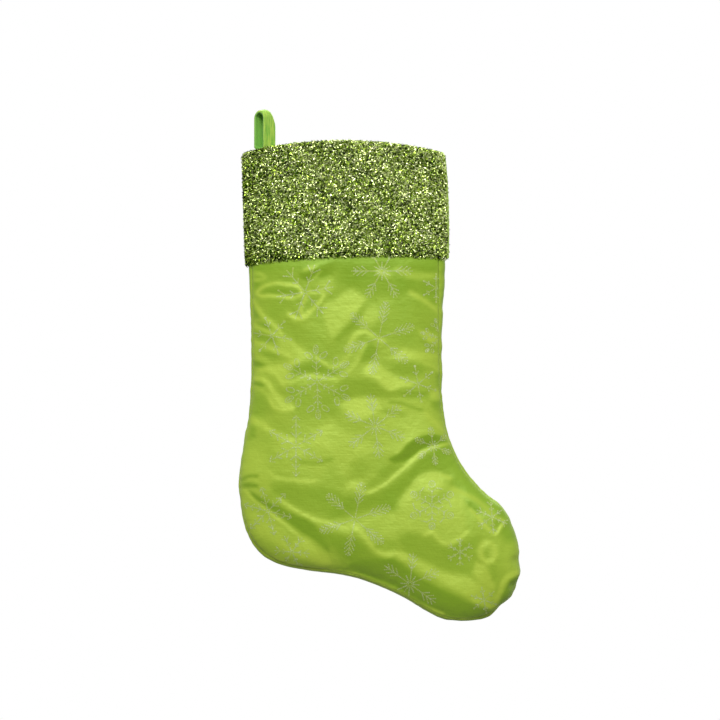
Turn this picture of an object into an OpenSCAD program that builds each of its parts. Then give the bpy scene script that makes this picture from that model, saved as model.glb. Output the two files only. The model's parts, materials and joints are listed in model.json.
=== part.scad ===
// Lined satin stocking with a turned-down tinsel cuff, hung from a folded ribbon loop.
// Sizes are in millimetres. The origin is the seat of the hook inside the loop, +Z is up,
// the front of the stocking faces -Y and its toe points to +X.

/* [Leg] */
// Width of the shell across its mouth
mouth_w = 195; // [165:1:225]
// Depth of the shell from front to back at its mouth
mouth_d = 48; // [42:1:64]
// Height from the mouth down to the ankle
leg_h = 228; // [190:1:280]
// Width of the shell across the ankle
ankle_w = 190; // [160:1:220]
// Depth of the shell at the ankle
ankle_d = 52; // [42:1:64]
// How far the ankle's back edge stands in from the mouth's back edge
ankle_in = 5.5; // [0:0.5:12]
// Swell of the front edge between mouth and ankle
front_swell = 3; // [0:0.2:8]
// Rise of the rim from its two corners to its middle
rim_arch = 10; // [0:1:20]

/* [Foot] */
// Bulge of the heel behind the ankle's back edge
heel_out = 12; // [4:1:24]
// Height from the ankle down to the back of the heel
heel_drop = 97; // [80:1:115]
// Height from the ankle down to the base of the heel
heel_base_drop = 181; // [160:1:200]
// How far the heel's base stands in from the ankle's back edge
heel_base_in = 36; // [24:1:50]
// Slope of the sole at the heel's base, in degrees
sole_slope = 12; // [0:1:25]
// Depth of the shell at the heel
heel_d = 56; // [42:1:66]
// Hollow of the sole between heel and ball
arch_rise = 10; // [0:1:18]
// Distance from the ankle's back edge to the middle of the toe
foot_reach = 209; // [180:1:240]
// Height from the ankle down to the middle of the toe
foot_drop = 172; // [155:1:190]
// Slope of the foot, in degrees
foot_tilt = 33; // [22:1:42]
// Height of the foot across the ball
foot_h = 130; // [105:1:145]
// Depth of the shell at the ball
foot_d = 52; // [42:1:64]
// Length of the rounded toe beyond the ball
toe_len = 62; // [45:1:80]
// Fullness of the toe above its tip, where 2 is an ellipse and less is flatter
toe_top_full = 1.6; // [1.3:0.1:2.4]
// Hollow of the instep between ankle and toe
instep_hollow = 16; // [6:1:24]

/* [Cloth] */
// Thickness of the padded satin shell
shell_t = 1.6; // [1:0.1:3]
// Thickness of the lining
lining_t = 0.8; // [0.5:0.1:1.6]
// Room between shell and lining for the seam
lining_gap = 1.2; // [1.1:0.1:2]
// Thickness of the sewing thread
thread_t = 0.8; // [0.4:0.1:0.8]

/* [Cuff] */
// Height of the cuff below the mouth's edge
cuff_h = 107; // [70:1:150]
// Thickness of the tinsel cloth with its pile
cuff_t = 3.7; // [2:0.1:6]
// Thickness of the cuff's facing
facing_t = 0.6; // [0.4:0.1:1.2]
// How far the facing ends above the hem
facing_short = 4; // [3:0.5:10]
// Height of the lip that turns into the mouth
lip_h = 8; // [6:0.5:14]
// Thickness of the lip
lip_t = 1.5; // [1:0.1:2.5]

/* [Loop] */
// Width of the ribbon
ribbon_w = 15; // [10:0.5:22]
// Thickness of the ribbon
ribbon_t = 1.8; // [1:0.1:2.4]
// Clear width of the loop's eye
eye_w = 11; // [8:0.5:18]
// Height from the fold at the rim up to the hook's seat
loop_h = 36; // [28:1:60]
// Turn of the loop about the vertical, in degrees
loop_turn = 43; // [0:1:60]
// Distance of the loop in from the mouth's back edge
loop_in = 18; // [15:0.5:40]
// Height of the fold above the rim's crest
neck_h = 1.5; // [1:0.1:6]
// Height above the fold over which the two limbs of the loop spread
spread_h = 7; // [5:0.5:16]
// Length of the sewn ribbon ends below the mouth's edge
tail_h = 20; // [16:1:40]
// Number of stitches in the bar tack
tack_count = 6; // [3:1:8]

/* [Clearances] */
// Room between neighbouring layers of cloth
layer_gap = 0.3; // [0.2:0.05:0.6]
// Room between the two layers of doubled ribbon
ribbon_gap = 0.3; // [0.2:0.05:0.6]
// Room round the fold of the ribbon
fold_gap = 0.2; // [0.1:0.05:0.4]

/* [Hidden] */

satin = "yellowgreen";
lining_cloth = "darkkhaki";
tinsel = "olivedrab";
velvet = "forestgreen";
thread = "darkolivegreen";

// Small vector helpers
function unit(v) = v / norm(v);
function heading(angle) = [cos(angle), sin(angle)];
function left_of(v) = [-v[1], v[0]];
function smooth(s) = let (c = min(max(s, 0), 1)) c * c * (3 - 2 * c);
function bend(p, q, r) = unit(unit(q - p) * norm(r - q) + unit(r - q) * norm(q - p));

// Places on the outline, as [x, z] from the mouth's back corner
mouth_back = [0, 0];
mouth_front = [mouth_w, 0];
ankle_back = [ankle_in, -leg_h];
ankle_front = ankle_back + [ankle_w, 0];
heel_back = ankle_back + [-heel_out, -heel_drop];
heel_base = ankle_back + [heel_base_in, -heel_base_drop];
foot_axis = heading(-foot_tilt);
foot_up = left_of(foot_axis);
toe_middle = ankle_back + [foot_reach, -foot_drop];
ball = toe_middle - foot_up * foot_h / 2;
toe_top = toe_middle + foot_up * foot_h / 2;
sole_line = unit(ball - heel_base);
arch = (heel_base + ball) / 2 + left_of(sole_line) * arch_rise;
instep_share = 0.66;
instep_line = ankle_front + (toe_top - ankle_front) * instep_share;
instep = instep_line + left_of(unit(ankle_front - toe_top)) * instep_hollow;

// The two long edges, as [place, direction] knots with the fullness of each stretch
down = [0, -1];
swell = [8 * front_swell, 0];
heel_full = 1.2;
back_knots = [
  [mouth_back, unit(ankle_back - mouth_back)],
  [ankle_back, down],
  [heel_back, down],
  [heel_base, heading(-sole_slope)],
  [arch, sole_line],
  [ball, foot_axis]
];
back_full = [1, 1, heel_full, 1, 1];
front_knots = [
  [mouth_front, unit(ankle_front - mouth_front + swell)],
  [ankle_front, down],
  [instep, bend(ankle_front, instep, toe_top)],
  [toe_top, foot_axis]
];
front_full = [1, 1, 1];

function curve(p, q, m, n, s) =
  (2 * s^3 - 3 * s^2 + 1) * p + (s^3 - 2 * s^2 + s) * m
  + (3 * s^2 - 2 * s^3) * q + (s^3 - s^2) * n;
function along(knots, full, t) =
  let (i = min(floor(t), len(knots) - 2))
  let (p = knots[i], q = knots[i + 1])
  let (reach = norm(q[0] - p[0]) * full[i])
  curve(p[0], q[0], p[1] * reach, q[1] * reach, t - i);
function back_edge(t) = along(back_knots, back_full, t);
function front_edge(t) = along(front_knots, front_full, t);

// Rungs run across the stocking from the back edge to the front edge
rung_marks = [[0, 0], [1, 1], [2, 1.5], [3, 2], [4, 2.5], [5, 3]];
rung_steps = [8, 4, 6, 4, 4];
rungs = concat(
  [for (i = [0 : len(rung_steps) - 1]) for (k = [0 : rung_steps[i] - 1])
    rung_marks[i] + (rung_marks[i + 1] - rung_marks[i]) * k / rung_steps[i]],
  [rung_marks[len(rung_steps)]]
);
last_rung = len(rungs) - 1;
toe_steps = 12;

function toe_point(turn) =
  let (c = cos(turn), full = c > 0 ? 2 : toe_top_full)
  toe_middle + foot_axis * toe_len * sin(turn)^(2 / full)
  - foot_up * foot_h / 2 * sign(c) * abs(c)^(2 / full);

// Half depth of the shell by the back edge's knots, and the share of the rim's arch left at a place
function half_depth(t) =
  lookup(t, [[0, mouth_d], [1, ankle_d], [3, heel_d], [5, foot_d]]) / 2;
function arch_share(t) = max(0, 1 - t);

// One entry for each sample of the outline: edge place, middle place, half depth, arch share
function rung_middle(r) = (back_edge(r[0]) + front_edge(r[1])) / 2;
function sample_at(r, edge) = [edge, rung_middle(r), half_depth(r[0]), arch_share(r[0])];
back_samples = [for (r = rungs) sample_at(r, back_edge(r[0]))];
toe_samples = [for (i = [1 : toe_steps - 1])
  [toe_point(180 * i / toe_steps), toe_middle, foot_d / 2, 0]];
front_samples = [for (i = [last_rung : -1 : 0]) sample_at(rungs[i], front_edge(rungs[i][1]))];
outline = concat(back_samples, toe_samples, front_samples);
sample_count = len(outline);
round_steps = 8;

// A point of the cloth over one outline sample, offset outwards from the shell's outer face
function cloth_point(sample, turn, offset) =
  let (out = sample[0] - sample[1])
  let (flat = sample[1] + unit(out) * (norm(out) + offset) * cos(turn))
  [flat[0], -(sample[2] + offset) * sin(turn), flat[1] + rim_arch * sample[3] * sin(turn)^2];
function cloth_face(offset) = concat(
  [for (s = outline) for (k = [0 : round_steps - 1]) cloth_point(s, 90 * k / round_steps, offset)],
  [for (s = back_samples) cloth_point(s, 90, offset)]
);
face_size = sample_count * round_steps + len(back_samples);

// Index of a cloth point, where the samples of the toe share one middle
function middle_index(j) = min(j, last_rung, sample_count - 1 - j);
function cloth_index(j, k) =
  k < round_steps ? j * round_steps + k : sample_count * round_steps + middle_index(j);
function quad(a, b, c, d) = c == d ? [[c, b, a]] : [[c, b, a], [d, c, a]];
function back_quad(a, b, c, d) = [for (f = quad(a, b, c, d)) [f[2], f[1], f[0]]];

// Front half of a pouch between two offsets, open at the mouth and flat along the seam
module pouch_half(outer, inner) {
  last = sample_count - 1;
  skin = [for (j = [0 : last - 1]) for (k = [0 : round_steps - 1])
    [cloth_index(j, k), cloth_index(j + 1, k), cloth_index(j + 1, k + 1), cloth_index(j, k + 1)]];
  outer_faces = [for (q = skin) for (f = quad(q[0], q[1], q[2], q[3])) f];
  inner_faces = [for (q = skin) for (f = back_quad(q[0], q[1], q[2], q[3])) f + [1, 1, 1] * face_size];
  seam = [for (j = [0 : last - 1]) let (a = cloth_index(j + 1, 0), b = cloth_index(j, 0))
    for (f = quad(a, b, b + face_size, a + face_size)) f];
  back_mouth = [for (k = [0 : round_steps - 1])
    let (a = cloth_index(0, k), b = cloth_index(0, k + 1))
    for (f = quad(a, b, b + face_size, a + face_size)) f];
  front_mouth = [for (k = [0 : round_steps - 1])
    let (a = cloth_index(last, k + 1), b = cloth_index(last, k))
    for (f = quad(a, b, b + face_size, a + face_size)) f];
  polyhedron(
    concat(cloth_face(outer), cloth_face(inner)),
    concat(outer_faces, inner_faces, seam, back_mouth, front_mouth)
  );
}

// A strand of thread along the seam from a given depth below the mouth, set in from the shell's outer edge
module seam_strand(inset, from) {
  r = thread_t / 2;
  ring = [[r, 0], [0, r], [-r, 0], [0, -r]];
  first = [1, 1] * from / leg_h;
  path = concat(
    [sample_at(first, back_edge(first[0]))],
    [for (s = outline) if (s[0][1] < -from) s],
    [sample_at(first, front_edge(first[1]))]
  );
  points = [for (s = path) for (p = ring)
    let (out = s[0] - s[1], flat = s[1] + unit(out) * (norm(out) - inset + p[0]))
    [flat[0], p[1], flat[1]]];
  sides = [for (j = [0 : len(path) - 2]) for (k = [0 : 3]) let (a = 4 * j + k, b = 4 * j + (k + 1) % 4)
    for (f = quad(a, b, b + 4, a + 4)) f];
  end = 4 * (len(path) - 1);
  caps = [[0, 1, 2], [0, 2, 3], [end + 2, end + 1, end], [end + 3, end + 2, end]];
  polyhedron(points, concat(sides, caps));
}

// A closed ring round the leg, with its section as [offset, height] points
function ring_point(turn, offset, height) =
  let (t = min(max(-height / leg_h, 0), 1), back = back_edge(t)[0], front = front_edge(t)[0])
  [
    (front + back) / 2 + ((front - back) / 2 + offset) * cos(turn),
    (half_depth(t) + offset) * sin(turn),
    height + rim_arch * arch_share(t) * sin(turn)^2
  ];
module leg_ring(section) {
  turns = 4 * round_steps;
  size = len(section);
  points = [for (i = [0 : turns - 1]) for (p = section) ring_point(360 * i / turns, p[0], p[1])];
  faces = [for (i = [0 : turns - 1]) for (k = [0 : size - 1])
    let (a = i * size, b = ((i + 1) % turns) * size, n = (k + 1) % size)
    for (f = quad(a + k, b + k, b + n, a + n)) f];
  polyhedron(points, faces);
}
function thread_section(offset, height) =
  let (r = thread_t / 2)
  [[offset + r, height], [offset, height + r], [offset - r, height], [offset, height - r]];

// Layers of the rim, as offsets from the shell's outer face
lining_out = -(shell_t + lining_gap);
lining_in = lining_out - lining_t;
facing_in = layer_gap;
facing_out = facing_in + facing_t;
band_in = facing_in + max(facing_t, thread_t) + layer_gap;
band_out = band_in + cuff_t;
lip_out = lining_in - layer_gap;
lip_in = lip_out - lip_t;
hem_taper = 0.3;
hem_out = band_out - hem_taper * cuff_t;
hem_round = 10;
rim_under = layer_gap;
rim_crest = rim_under + cuff_t;
roll_r = (band_out - lip_in) / 2;
roll_at = [(band_out + lip_in) / 2, rim_crest - roll_r];
roll_steps = 6;
cuff_steps = 5;
function rows(offset, from, to) =
  [for (i = [0 : cuff_steps]) [offset, from + (to - from) * i / cuff_steps]];
band_section = concat(
  [[hem_out, -cuff_h]],
  rows(band_out, hem_round - cuff_h, roll_at[1] - hem_round),
  [for (i = [0 : roll_steps]) roll_at + roll_r * heading(180 * i / roll_steps)],
  [[lip_in, -lip_h], [lip_out, -lip_h], [lip_out, rim_under]],
  rows(band_in, rim_under, -cuff_h)
);
facing_low = facing_short - cuff_h;
facing_section = concat(rows(facing_out, facing_low, 0), rows(facing_in, 0, facing_low));
mouth_thread_offset = lip_in - thread_t / 2 - fold_gap / 2;
mouth_thread_z = -lip_h / 2;
hem_thread_offset = facing_in + (band_in - layer_gap - facing_in) / 2;
hem_thread_z = facing_low - thread_t;

// Seat of the ribbon on the inside of the mouth's back
tail_t = 2 * ribbon_t + ribbon_gap;
seat_offset = mouth_thread_offset - thread_t / 2 - fold_gap;
seat_half_w = mouth_w / 2 + seat_offset;
seat_half_d = mouth_d / 2 + seat_offset;
function seat_at(x) = [x, seat_half_d * sqrt(max(0, 1 - ((x - mouth_w / 2) / seat_half_w)^2))];
seat_left = seat_at(max(loop_in - ribbon_w / 2, -seat_offset));
seat_right = seat_at(seat_left[0] + ribbon_w);
seat_line = unit(seat_right - seat_left);
tail_turn = atan2(seat_line[1], seat_line[0]);
tail_at = (seat_left + seat_right) / 2 - left_of(seat_line) * tail_t / 2;
loop_from_middle = (tail_at[0] - mouth_w / 2) / (mouth_w / 2);
fold_z = rim_crest + rim_arch * (1 - loop_from_middle^2) + neck_h;
fold_r = tail_t / 2 + 0.1;
tail_top = fold_z - 0.8 * fold_r;
hook_seat = [tail_at[0], tail_at[1], fold_z + loop_h];

// Path of the ribbon through the loop, as [sideways, height, turn, sideways normal, upward normal]
limb_h = loop_h - eye_w / 2;
bend_r = (eye_w + ribbon_t) / 2;
limb_near = (ribbon_t + ribbon_gap) / 2;
limb_steps = 10;
bend_steps = 12;
function limb_side(h) = limb_near + (bend_r - limb_near) * smooth(h / spread_h);
function limb_station(h, side) =
  let (step = 0.1, slope = (limb_side(h + step) - limb_side(h)) / step, n = unit([1, -slope]))
  [side * limb_side(h), h, loop_turn * smooth(h / spread_h), side * n[0], n[1]];
function bend_station(turn) =
  [bend_r * cos(turn), limb_h + bend_r * sin(turn), loop_turn, cos(turn), sin(turn)];
loop_path = concat(
  [for (i = [0 : limb_steps]) limb_station(limb_h * i / limb_steps, -1)],
  [for (i = [1 : bend_steps - 1]) bend_station(180 - 180 * i / bend_steps)],
  [for (i = [limb_steps : -1 : 0]) limb_station(limb_h * i / limb_steps, 1)]
);
function ribbon_corner(s, across, through) =
  let (width = heading(s[2]), side = -left_of(width))
  let (flat = side * (s[0] + s[3] * through) + width * across)
  [flat[0], flat[1], s[1] + s[4] * through];

module place() {
  translate(-hook_seat) children();
}
module at_fold() {
  translate([tail_at[0], tail_at[1], fold_z]) children();
}
module fold_rod(radius) {
  at_fold() rotate([0, 90, 0]) cylinder(r = radius, h = ribbon_w, center = true, $fn = 48);
}

module front_panel() {
  color(satin) place() pouch_half(0, -shell_t);
}
module back_panel() {
  color(satin) place() mirror([0, 1, 0]) pouch_half(0, -shell_t);
}
module front_lining() {
  color(lining_cloth) place() pouch_half(lining_out, lining_in);
}
module back_lining() {
  color(lining_cloth) place() mirror([0, 1, 0]) pouch_half(lining_out, lining_in);
}
module cuff_band() {
  color(tinsel) place() leg_ring(band_section);
}
module cuff_facing() {
  color(satin) place() leg_ring(facing_section);
}
module shell_seam_thread() {
  color(thread) place() seam_strand(shell_t + lining_gap / 2, 0);
}
module lining_seam_thread() {
  color(thread) place() seam_strand(thread_t - lining_in, lip_h + thread_t);
}
module mouth_seam_thread() {
  color(thread) place() leg_ring(thread_section(mouth_thread_offset, mouth_thread_z));
}
module cuff_hem_thread() {
  color(thread) place() leg_ring(thread_section(hem_thread_offset, hem_thread_z));
}

// Doubled ribbon ends, hollowed along the top where the fold turns
module loop_tails() {
  height = tail_top + tail_h;
  color(velvet) place() difference() {
    translate([tail_at[0], tail_at[1], height / 2 - tail_h])
      rotate([0, 0, tail_turn]) cube([ribbon_w, tail_t, height], center = true);
    fold_rod(fold_r + fold_gap);
  }
}

// Row of short stitches across the front of the ribbon ends
module bar_tack() {
  pitch = 2 * thread_t;
  length = 0.6 * ribbon_w;
  color(thread) place() translate([tail_at[0], tail_at[1], -tail_h / 2])
    rotate([0, 0, tail_turn]) for (i = [0 : tack_count - 1])
      translate([0, -(tail_t + thread_t) / 2, pitch * (i - (tack_count - 1) / 2)])
        cube([length, thread_t, thread_t], center = true);
}

// Ribbon loop, standing on the round fold that it swings about
module hanging_loop() {
  half_w = ribbon_w / 2;
  half_t = ribbon_t / 2;
  points = [for (s = loop_path) each [
    ribbon_corner(s, -half_w, half_t), ribbon_corner(s, -half_w, -half_t),
    ribbon_corner(s, half_w, -half_t), ribbon_corner(s, half_w, half_t)
  ]];
  end = len(points) - 4;
  sides = [for (j = [0 : 4 : end - 4]) for (k = [0 : 3]) let (a = j + k, b = j + (k + 1) % 4)
    for (f = quad(a, b, b + 4, a + 4)) f];
  caps = [[0, 1, 2], [0, 2, 3], [end + 2, end + 1, end], [end + 3, end + 2, end]];
  color(velvet) place() union() {
    at_fold() polyhedron(points, concat(sides, caps));
    fold_rod(fold_r);
  }
}

front_panel();
back_panel();
front_lining();
back_lining();
cuff_band();
cuff_facing();
shell_seam_thread();
lining_seam_thread();
mouth_seam_thread();
cuff_hem_thread();
loop_tails();
bar_tack();
hanging_loop();
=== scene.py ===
import json
import math

import bpy
import numpy as np
from bpy.props import FloatProperty, FloatVectorProperty, IntProperty, PointerProperty
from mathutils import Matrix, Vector
from mathutils.bvhtree import BVHTree

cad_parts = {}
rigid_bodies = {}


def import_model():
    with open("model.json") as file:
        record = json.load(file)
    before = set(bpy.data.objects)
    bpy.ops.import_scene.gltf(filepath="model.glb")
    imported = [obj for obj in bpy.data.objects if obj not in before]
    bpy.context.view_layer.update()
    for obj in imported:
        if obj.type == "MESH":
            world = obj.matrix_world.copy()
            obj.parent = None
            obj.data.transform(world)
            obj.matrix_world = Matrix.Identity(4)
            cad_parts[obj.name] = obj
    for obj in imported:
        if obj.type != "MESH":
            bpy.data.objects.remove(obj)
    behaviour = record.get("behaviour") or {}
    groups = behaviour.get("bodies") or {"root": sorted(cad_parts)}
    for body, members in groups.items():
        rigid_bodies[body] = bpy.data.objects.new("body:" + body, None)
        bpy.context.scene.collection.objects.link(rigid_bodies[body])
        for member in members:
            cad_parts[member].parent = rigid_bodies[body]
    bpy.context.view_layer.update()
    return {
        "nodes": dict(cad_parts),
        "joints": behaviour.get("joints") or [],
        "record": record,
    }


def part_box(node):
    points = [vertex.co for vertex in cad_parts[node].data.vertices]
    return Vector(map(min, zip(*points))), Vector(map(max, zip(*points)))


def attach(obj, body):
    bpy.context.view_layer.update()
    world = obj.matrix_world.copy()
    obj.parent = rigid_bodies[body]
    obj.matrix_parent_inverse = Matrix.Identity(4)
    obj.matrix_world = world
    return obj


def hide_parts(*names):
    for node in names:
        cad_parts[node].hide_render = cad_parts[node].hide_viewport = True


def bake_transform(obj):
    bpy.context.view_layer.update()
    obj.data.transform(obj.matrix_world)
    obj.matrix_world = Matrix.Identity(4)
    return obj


bl_info = {
    "name": "Hanging satin stocking",
    "version": (1, 0, 0),
    "blender": (4, 5, 0),
    "location": "View3D > Sidebar > Stocking",
    "description": "Dresses the packed stocking in printed satin, tinsel, velvet ribbon and lining",
    "category": "Add Mesh",
}

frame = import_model()

MM = 0.001
TAU = 2 * math.pi
TOE_POINTS = 11  # points of the CAD outline round the toe, between its two long edges
LEG_RUNGS = 8  # rungs of the CAD outline from the mouth down to the ankle
HEEL_RUNG = 18  # rung of the CAD outline at the heel
MESH_RATIO = 4  # fine steps of a panel's face for each coarse step of its back


def linear(hex_colour):
    """An sRGB hex value as a linear RGBA colour."""
    parts = [int(hex_colour[i:i + 2], 16) / 255 for i in (1, 3, 5)]
    return tuple(p / 12.92 if p <= 0.04045 else ((p + 0.055) / 1.055) ** 2.4 for p in parts) + (1.0,)


def colour_property(name, description, hex_colour):
    """A colour that a user may change."""
    return FloatVectorProperty(
        name=name, description=description, subtype="COLOR", size=4, min=0, max=1,
        default=linear(hex_colour),
    )


def length_property(name, description, millimetres, low=0.0):
    """A length that a user may change, with its default and its least value in millimetres."""
    return FloatProperty(
        name=name, description=description, unit="LENGTH", subtype="DISTANCE",
        min=low * MM, default=millimetres * MM,
    )


class StockingSizes(bpy.types.PropertyGroup):
    """Sizes of the cloth, pile and ribbon."""

    mouth_depth: length_property("Mouth depth", "Depth of the shell at its mouth", 48)
    ankle_depth: length_property("Ankle depth", "Depth of the shell at the ankle", 52)
    heel_depth: length_property("Heel depth", "Depth of the shell at the heel", 56)
    ball_depth: length_property("Ball depth", "Depth of the shell at the ball of the foot", 52)
    fold_depth: FloatProperty(
        name="Fold depth", description="Depth of the folds, where 1 is as hung", min=0, max=2, default=1
    )
    panel_thickness: length_property("Panel thickness", "Thickness of the satin with its backing", 0.8)
    lining_thickness: length_property("Lining thickness", "Thickness of the lining", 0.6)
    mesh_pitch: length_property("Mesh pitch", "Spacing of the satin's mesh", 1.4, 0.5)
    print_width: length_property("Print line", "Width of the glitter lines", 1.3)
    cuff_height: length_property("Cuff height", "Height of the cuff below the mouth's edge", 107)
    lip_height: length_property("Lip height", "Height of the cuff's lip inside the mouth", 8)
    pile_height: length_property("Pile height", "Height of the tinsel above its ground cloth", 1.9)
    pile_count: IntProperty(
        name="Pile count", description="Number of tinsel strands on a quarter of the cuff",
        min=1000, max=33000, default=21000,
    )
    ribbon_width: length_property("Ribbon width", "Width of the hanging ribbon", 15)
    ribbon_thickness: length_property("Ribbon thickness", "Thickness of the hanging ribbon", 2.6)
    eye_width: length_property("Eye width", "Clear width of the loop's eye", 11)
    loop_slant: length_property("Loop slant", "How far the loop's front edge droops below its crest", 12)
    stitch_length: length_property("Stitch length", "Length of one stitch round the mouth", 3)


class StockingColours(bpy.types.PropertyGroup):
    """Colours of the cloths, foils and threads."""

    # Colours of the satin. The mix between them is painted light and shade: the paler Satin where a fold
    # turns up, and the greener Deep satin where a fold turns down and close under the cuff's hem, with clouds
    # of uneven dye besides
    satin: colour_property("Satin", "Lime satin", "#A2B937")
    satin_shade_and_dye: colour_property("Deep satin", "Greener yarns, seen where the satin turns down", "#80A31D")
    glitter: colour_property("Glitter ink", "Pale ink of the snowflakes", "#9EB265")
    # Painted glints: the glitter's grains are pale, and are painted brighter still as their sparkle
    glitter_grain_glint: colour_property("Glitter specks", "Bright grains in the ink", "#B9C88C")
    tinsel_light: colour_property("Light tinsel", "Brightest foil of the cuff", "#F4FBBE")
    tinsel: colour_property("Tinsel", "Middling foil of the cuff", "#AECC46")
    tinsel_dark: colour_property("Dark tinsel", "Deepest foil of the cuff", "#122E00")
    # Painted shade: the cuff's ground cloth is coloured near black, as the shadow deep in the gaps of the
    # pile
    shaded_ground: colour_property("Cuff ground", "Dark knit under the tinsel", "#223602")
    facing: colour_property("Facing", "Smooth cloth of the facing and the cuff's side seam", "#9DBD45")
    velvet: colour_property("Velvet", "Pile of the green ribbon", "#B1D055")
    velvet_deep: colour_property("Deep velvet", "Green ribbon between its tufts and on its back", "#78B23F")
    lining: colour_property("Lining", "Dull woven lining", "#98AD56")
    thread: colour_property("Thread", "Sewing thread", "#8C9E4C")


def sizes():
    return bpy.context.scene.stocking_sizes


def colours():
    return bpy.context.scene.stocking_colours


# Meshes

def deselect_all():
    if bpy.context.object and bpy.context.object.mode != "OBJECT":
        bpy.ops.object.mode_set(mode="OBJECT")
    bpy.ops.object.select_all(action="DESELECT")


def new_piece(name, points, faces, material, smooth=True):
    """A mesh object at the origin, with its place in its mesh."""
    mesh = bpy.data.meshes.new(name)
    mesh.from_pydata(np.asarray(points).tolist(), [], [tuple(f) for f in faces])
    mesh.polygons.foreach_set("use_smooth", np.full(len(mesh.polygons), smooth))
    mesh.materials.append(material)
    mesh.update()
    piece = bpy.data.objects.new(name, mesh)
    bpy.context.scene.collection.objects.link(piece)
    return piece


def dress(piece, body, slot, *nodes):
    """Sets what a finished piece moves with, and hides the CAD nodes it stands for; its finish, the slot, is
    not used.
    """
    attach(piece, body)
    if nodes:
        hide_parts(*nodes)


def tube_faces(rings, size, closed=False):
    """Quads of a tube whose rings have size points each."""
    faces = []
    for j in range(rings if closed else rings - 1):
        a, b = j * size, (j + 1) % rings * size
        faces += [(a + k, b + k, b + (k + 1) % size, a + (k + 1) % size) for k in range(size)]
    return faces


def smoothstep(s):
    s = np.clip(s, 0, 1)
    return s * s * (3 - 2 * s)


def unit(v):
    return v / np.maximum(np.linalg.norm(v, axis=-1, keepdims=True), 1e-12)


def path_lengths(points):
    return np.concatenate([[0], np.cumsum(np.linalg.norm(np.diff(points, axis=0), axis=1))])


def through(points, per_step):
    """A smooth curve through the points, with the given number of steps after each point."""
    points = np.asarray(points, float)
    place = path_lengths(points)
    slope = np.gradient(points, place, axis=0)
    out = []
    for i, steps in enumerate(per_step):
        s = (np.arange(steps) / steps)[:, None]
        reach = place[i + 1] - place[i]
        out.append(
            (2 * s**3 - 3 * s**2 + 1) * points[i] + (s**3 - 2 * s**2 + s) * reach * slope[i]
            + (3 * s**2 - 2 * s**3) * points[i + 1] + (s**3 - s**2) * reach * slope[i + 1]
        )
    return np.concatenate(out + [points[-1:]])


# The cut of the panels

SAME_PLANE = 2e-5  # m within which points of the CAD panel lie in its seam's plane
SAME_HEIGHT = 1e-4  # m within which points of a CAD solid lie at its top or its foot


def seam_outline():
    """Outer seam edge of the CAD front panel as [x, z], from the mouth's back corner to its front corner,
    and the y of the plane that it lies in."""
    mesh = frame["nodes"]["front_panel"].data
    points = np.round(np.array([v.co for v in mesh.vertices]), 5)
    places, index = np.unique(points, axis=0, return_inverse=True)
    index = index.ravel()
    flat = np.abs(places[:, 1] - places[:, 1].max()) < SAME_PLANE
    count = {}
    for face in mesh.polygons:
        corners = [int(index[v]) for v in face.vertices]
        if flat[corners].all():
            for a, b in zip(corners, corners[1:] + corners[:1]):
                count[frozenset((a, b))] = count.get(frozenset((a, b)), 0) + 1
    beside = {}
    for edge, times in count.items():
        if times == 1:
            a, b = edge
            beside.setdefault(a, []).append(b)
            beside.setdefault(b, []).append(a)
    top = [v for v in beside if places[v, 2] > places[list(beside), 2].max() - SAME_HEIGHT]
    first, last = min(top, key=lambda v: places[v, 0]), max(top, key=lambda v: places[v, 0])
    walk = [first, min(beside[first], key=lambda v: places[v, 2])]
    while walk[-1] != last:
        walk.append(next(v for v in beside[walk[-1]] if v != walk[-2]))
    return places[walk][:, [0, 2]], float(places[:, 1].max())


OUTLINE, SEAM_Y = seam_outline()
RUNGS = (len(OUTLINE) - TOE_POINTS) // 2
MOUTH_Z = OUTLINE[0, 1]
LEG_HEIGHT = MOUTH_Z - OUTLINE[LEG_RUNGS, 1]
RIM_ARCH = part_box("front_panel")[1].z - MOUTH_Z

# How far the visible seam lies forward of the widest line: share of the way round the outline, mm
SEAM_FORWARD = [
    (0, 6), (0.235, 7), (0.3, 6), (0.34, 9), (0.37, 13), (0.42, 15), (0.5, 15), (0.54, 14), (0.58, 8),
    (0.62, 5), (0.7, 4), (0.77, 7), (0.85, 9), (1, 9),
]


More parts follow.
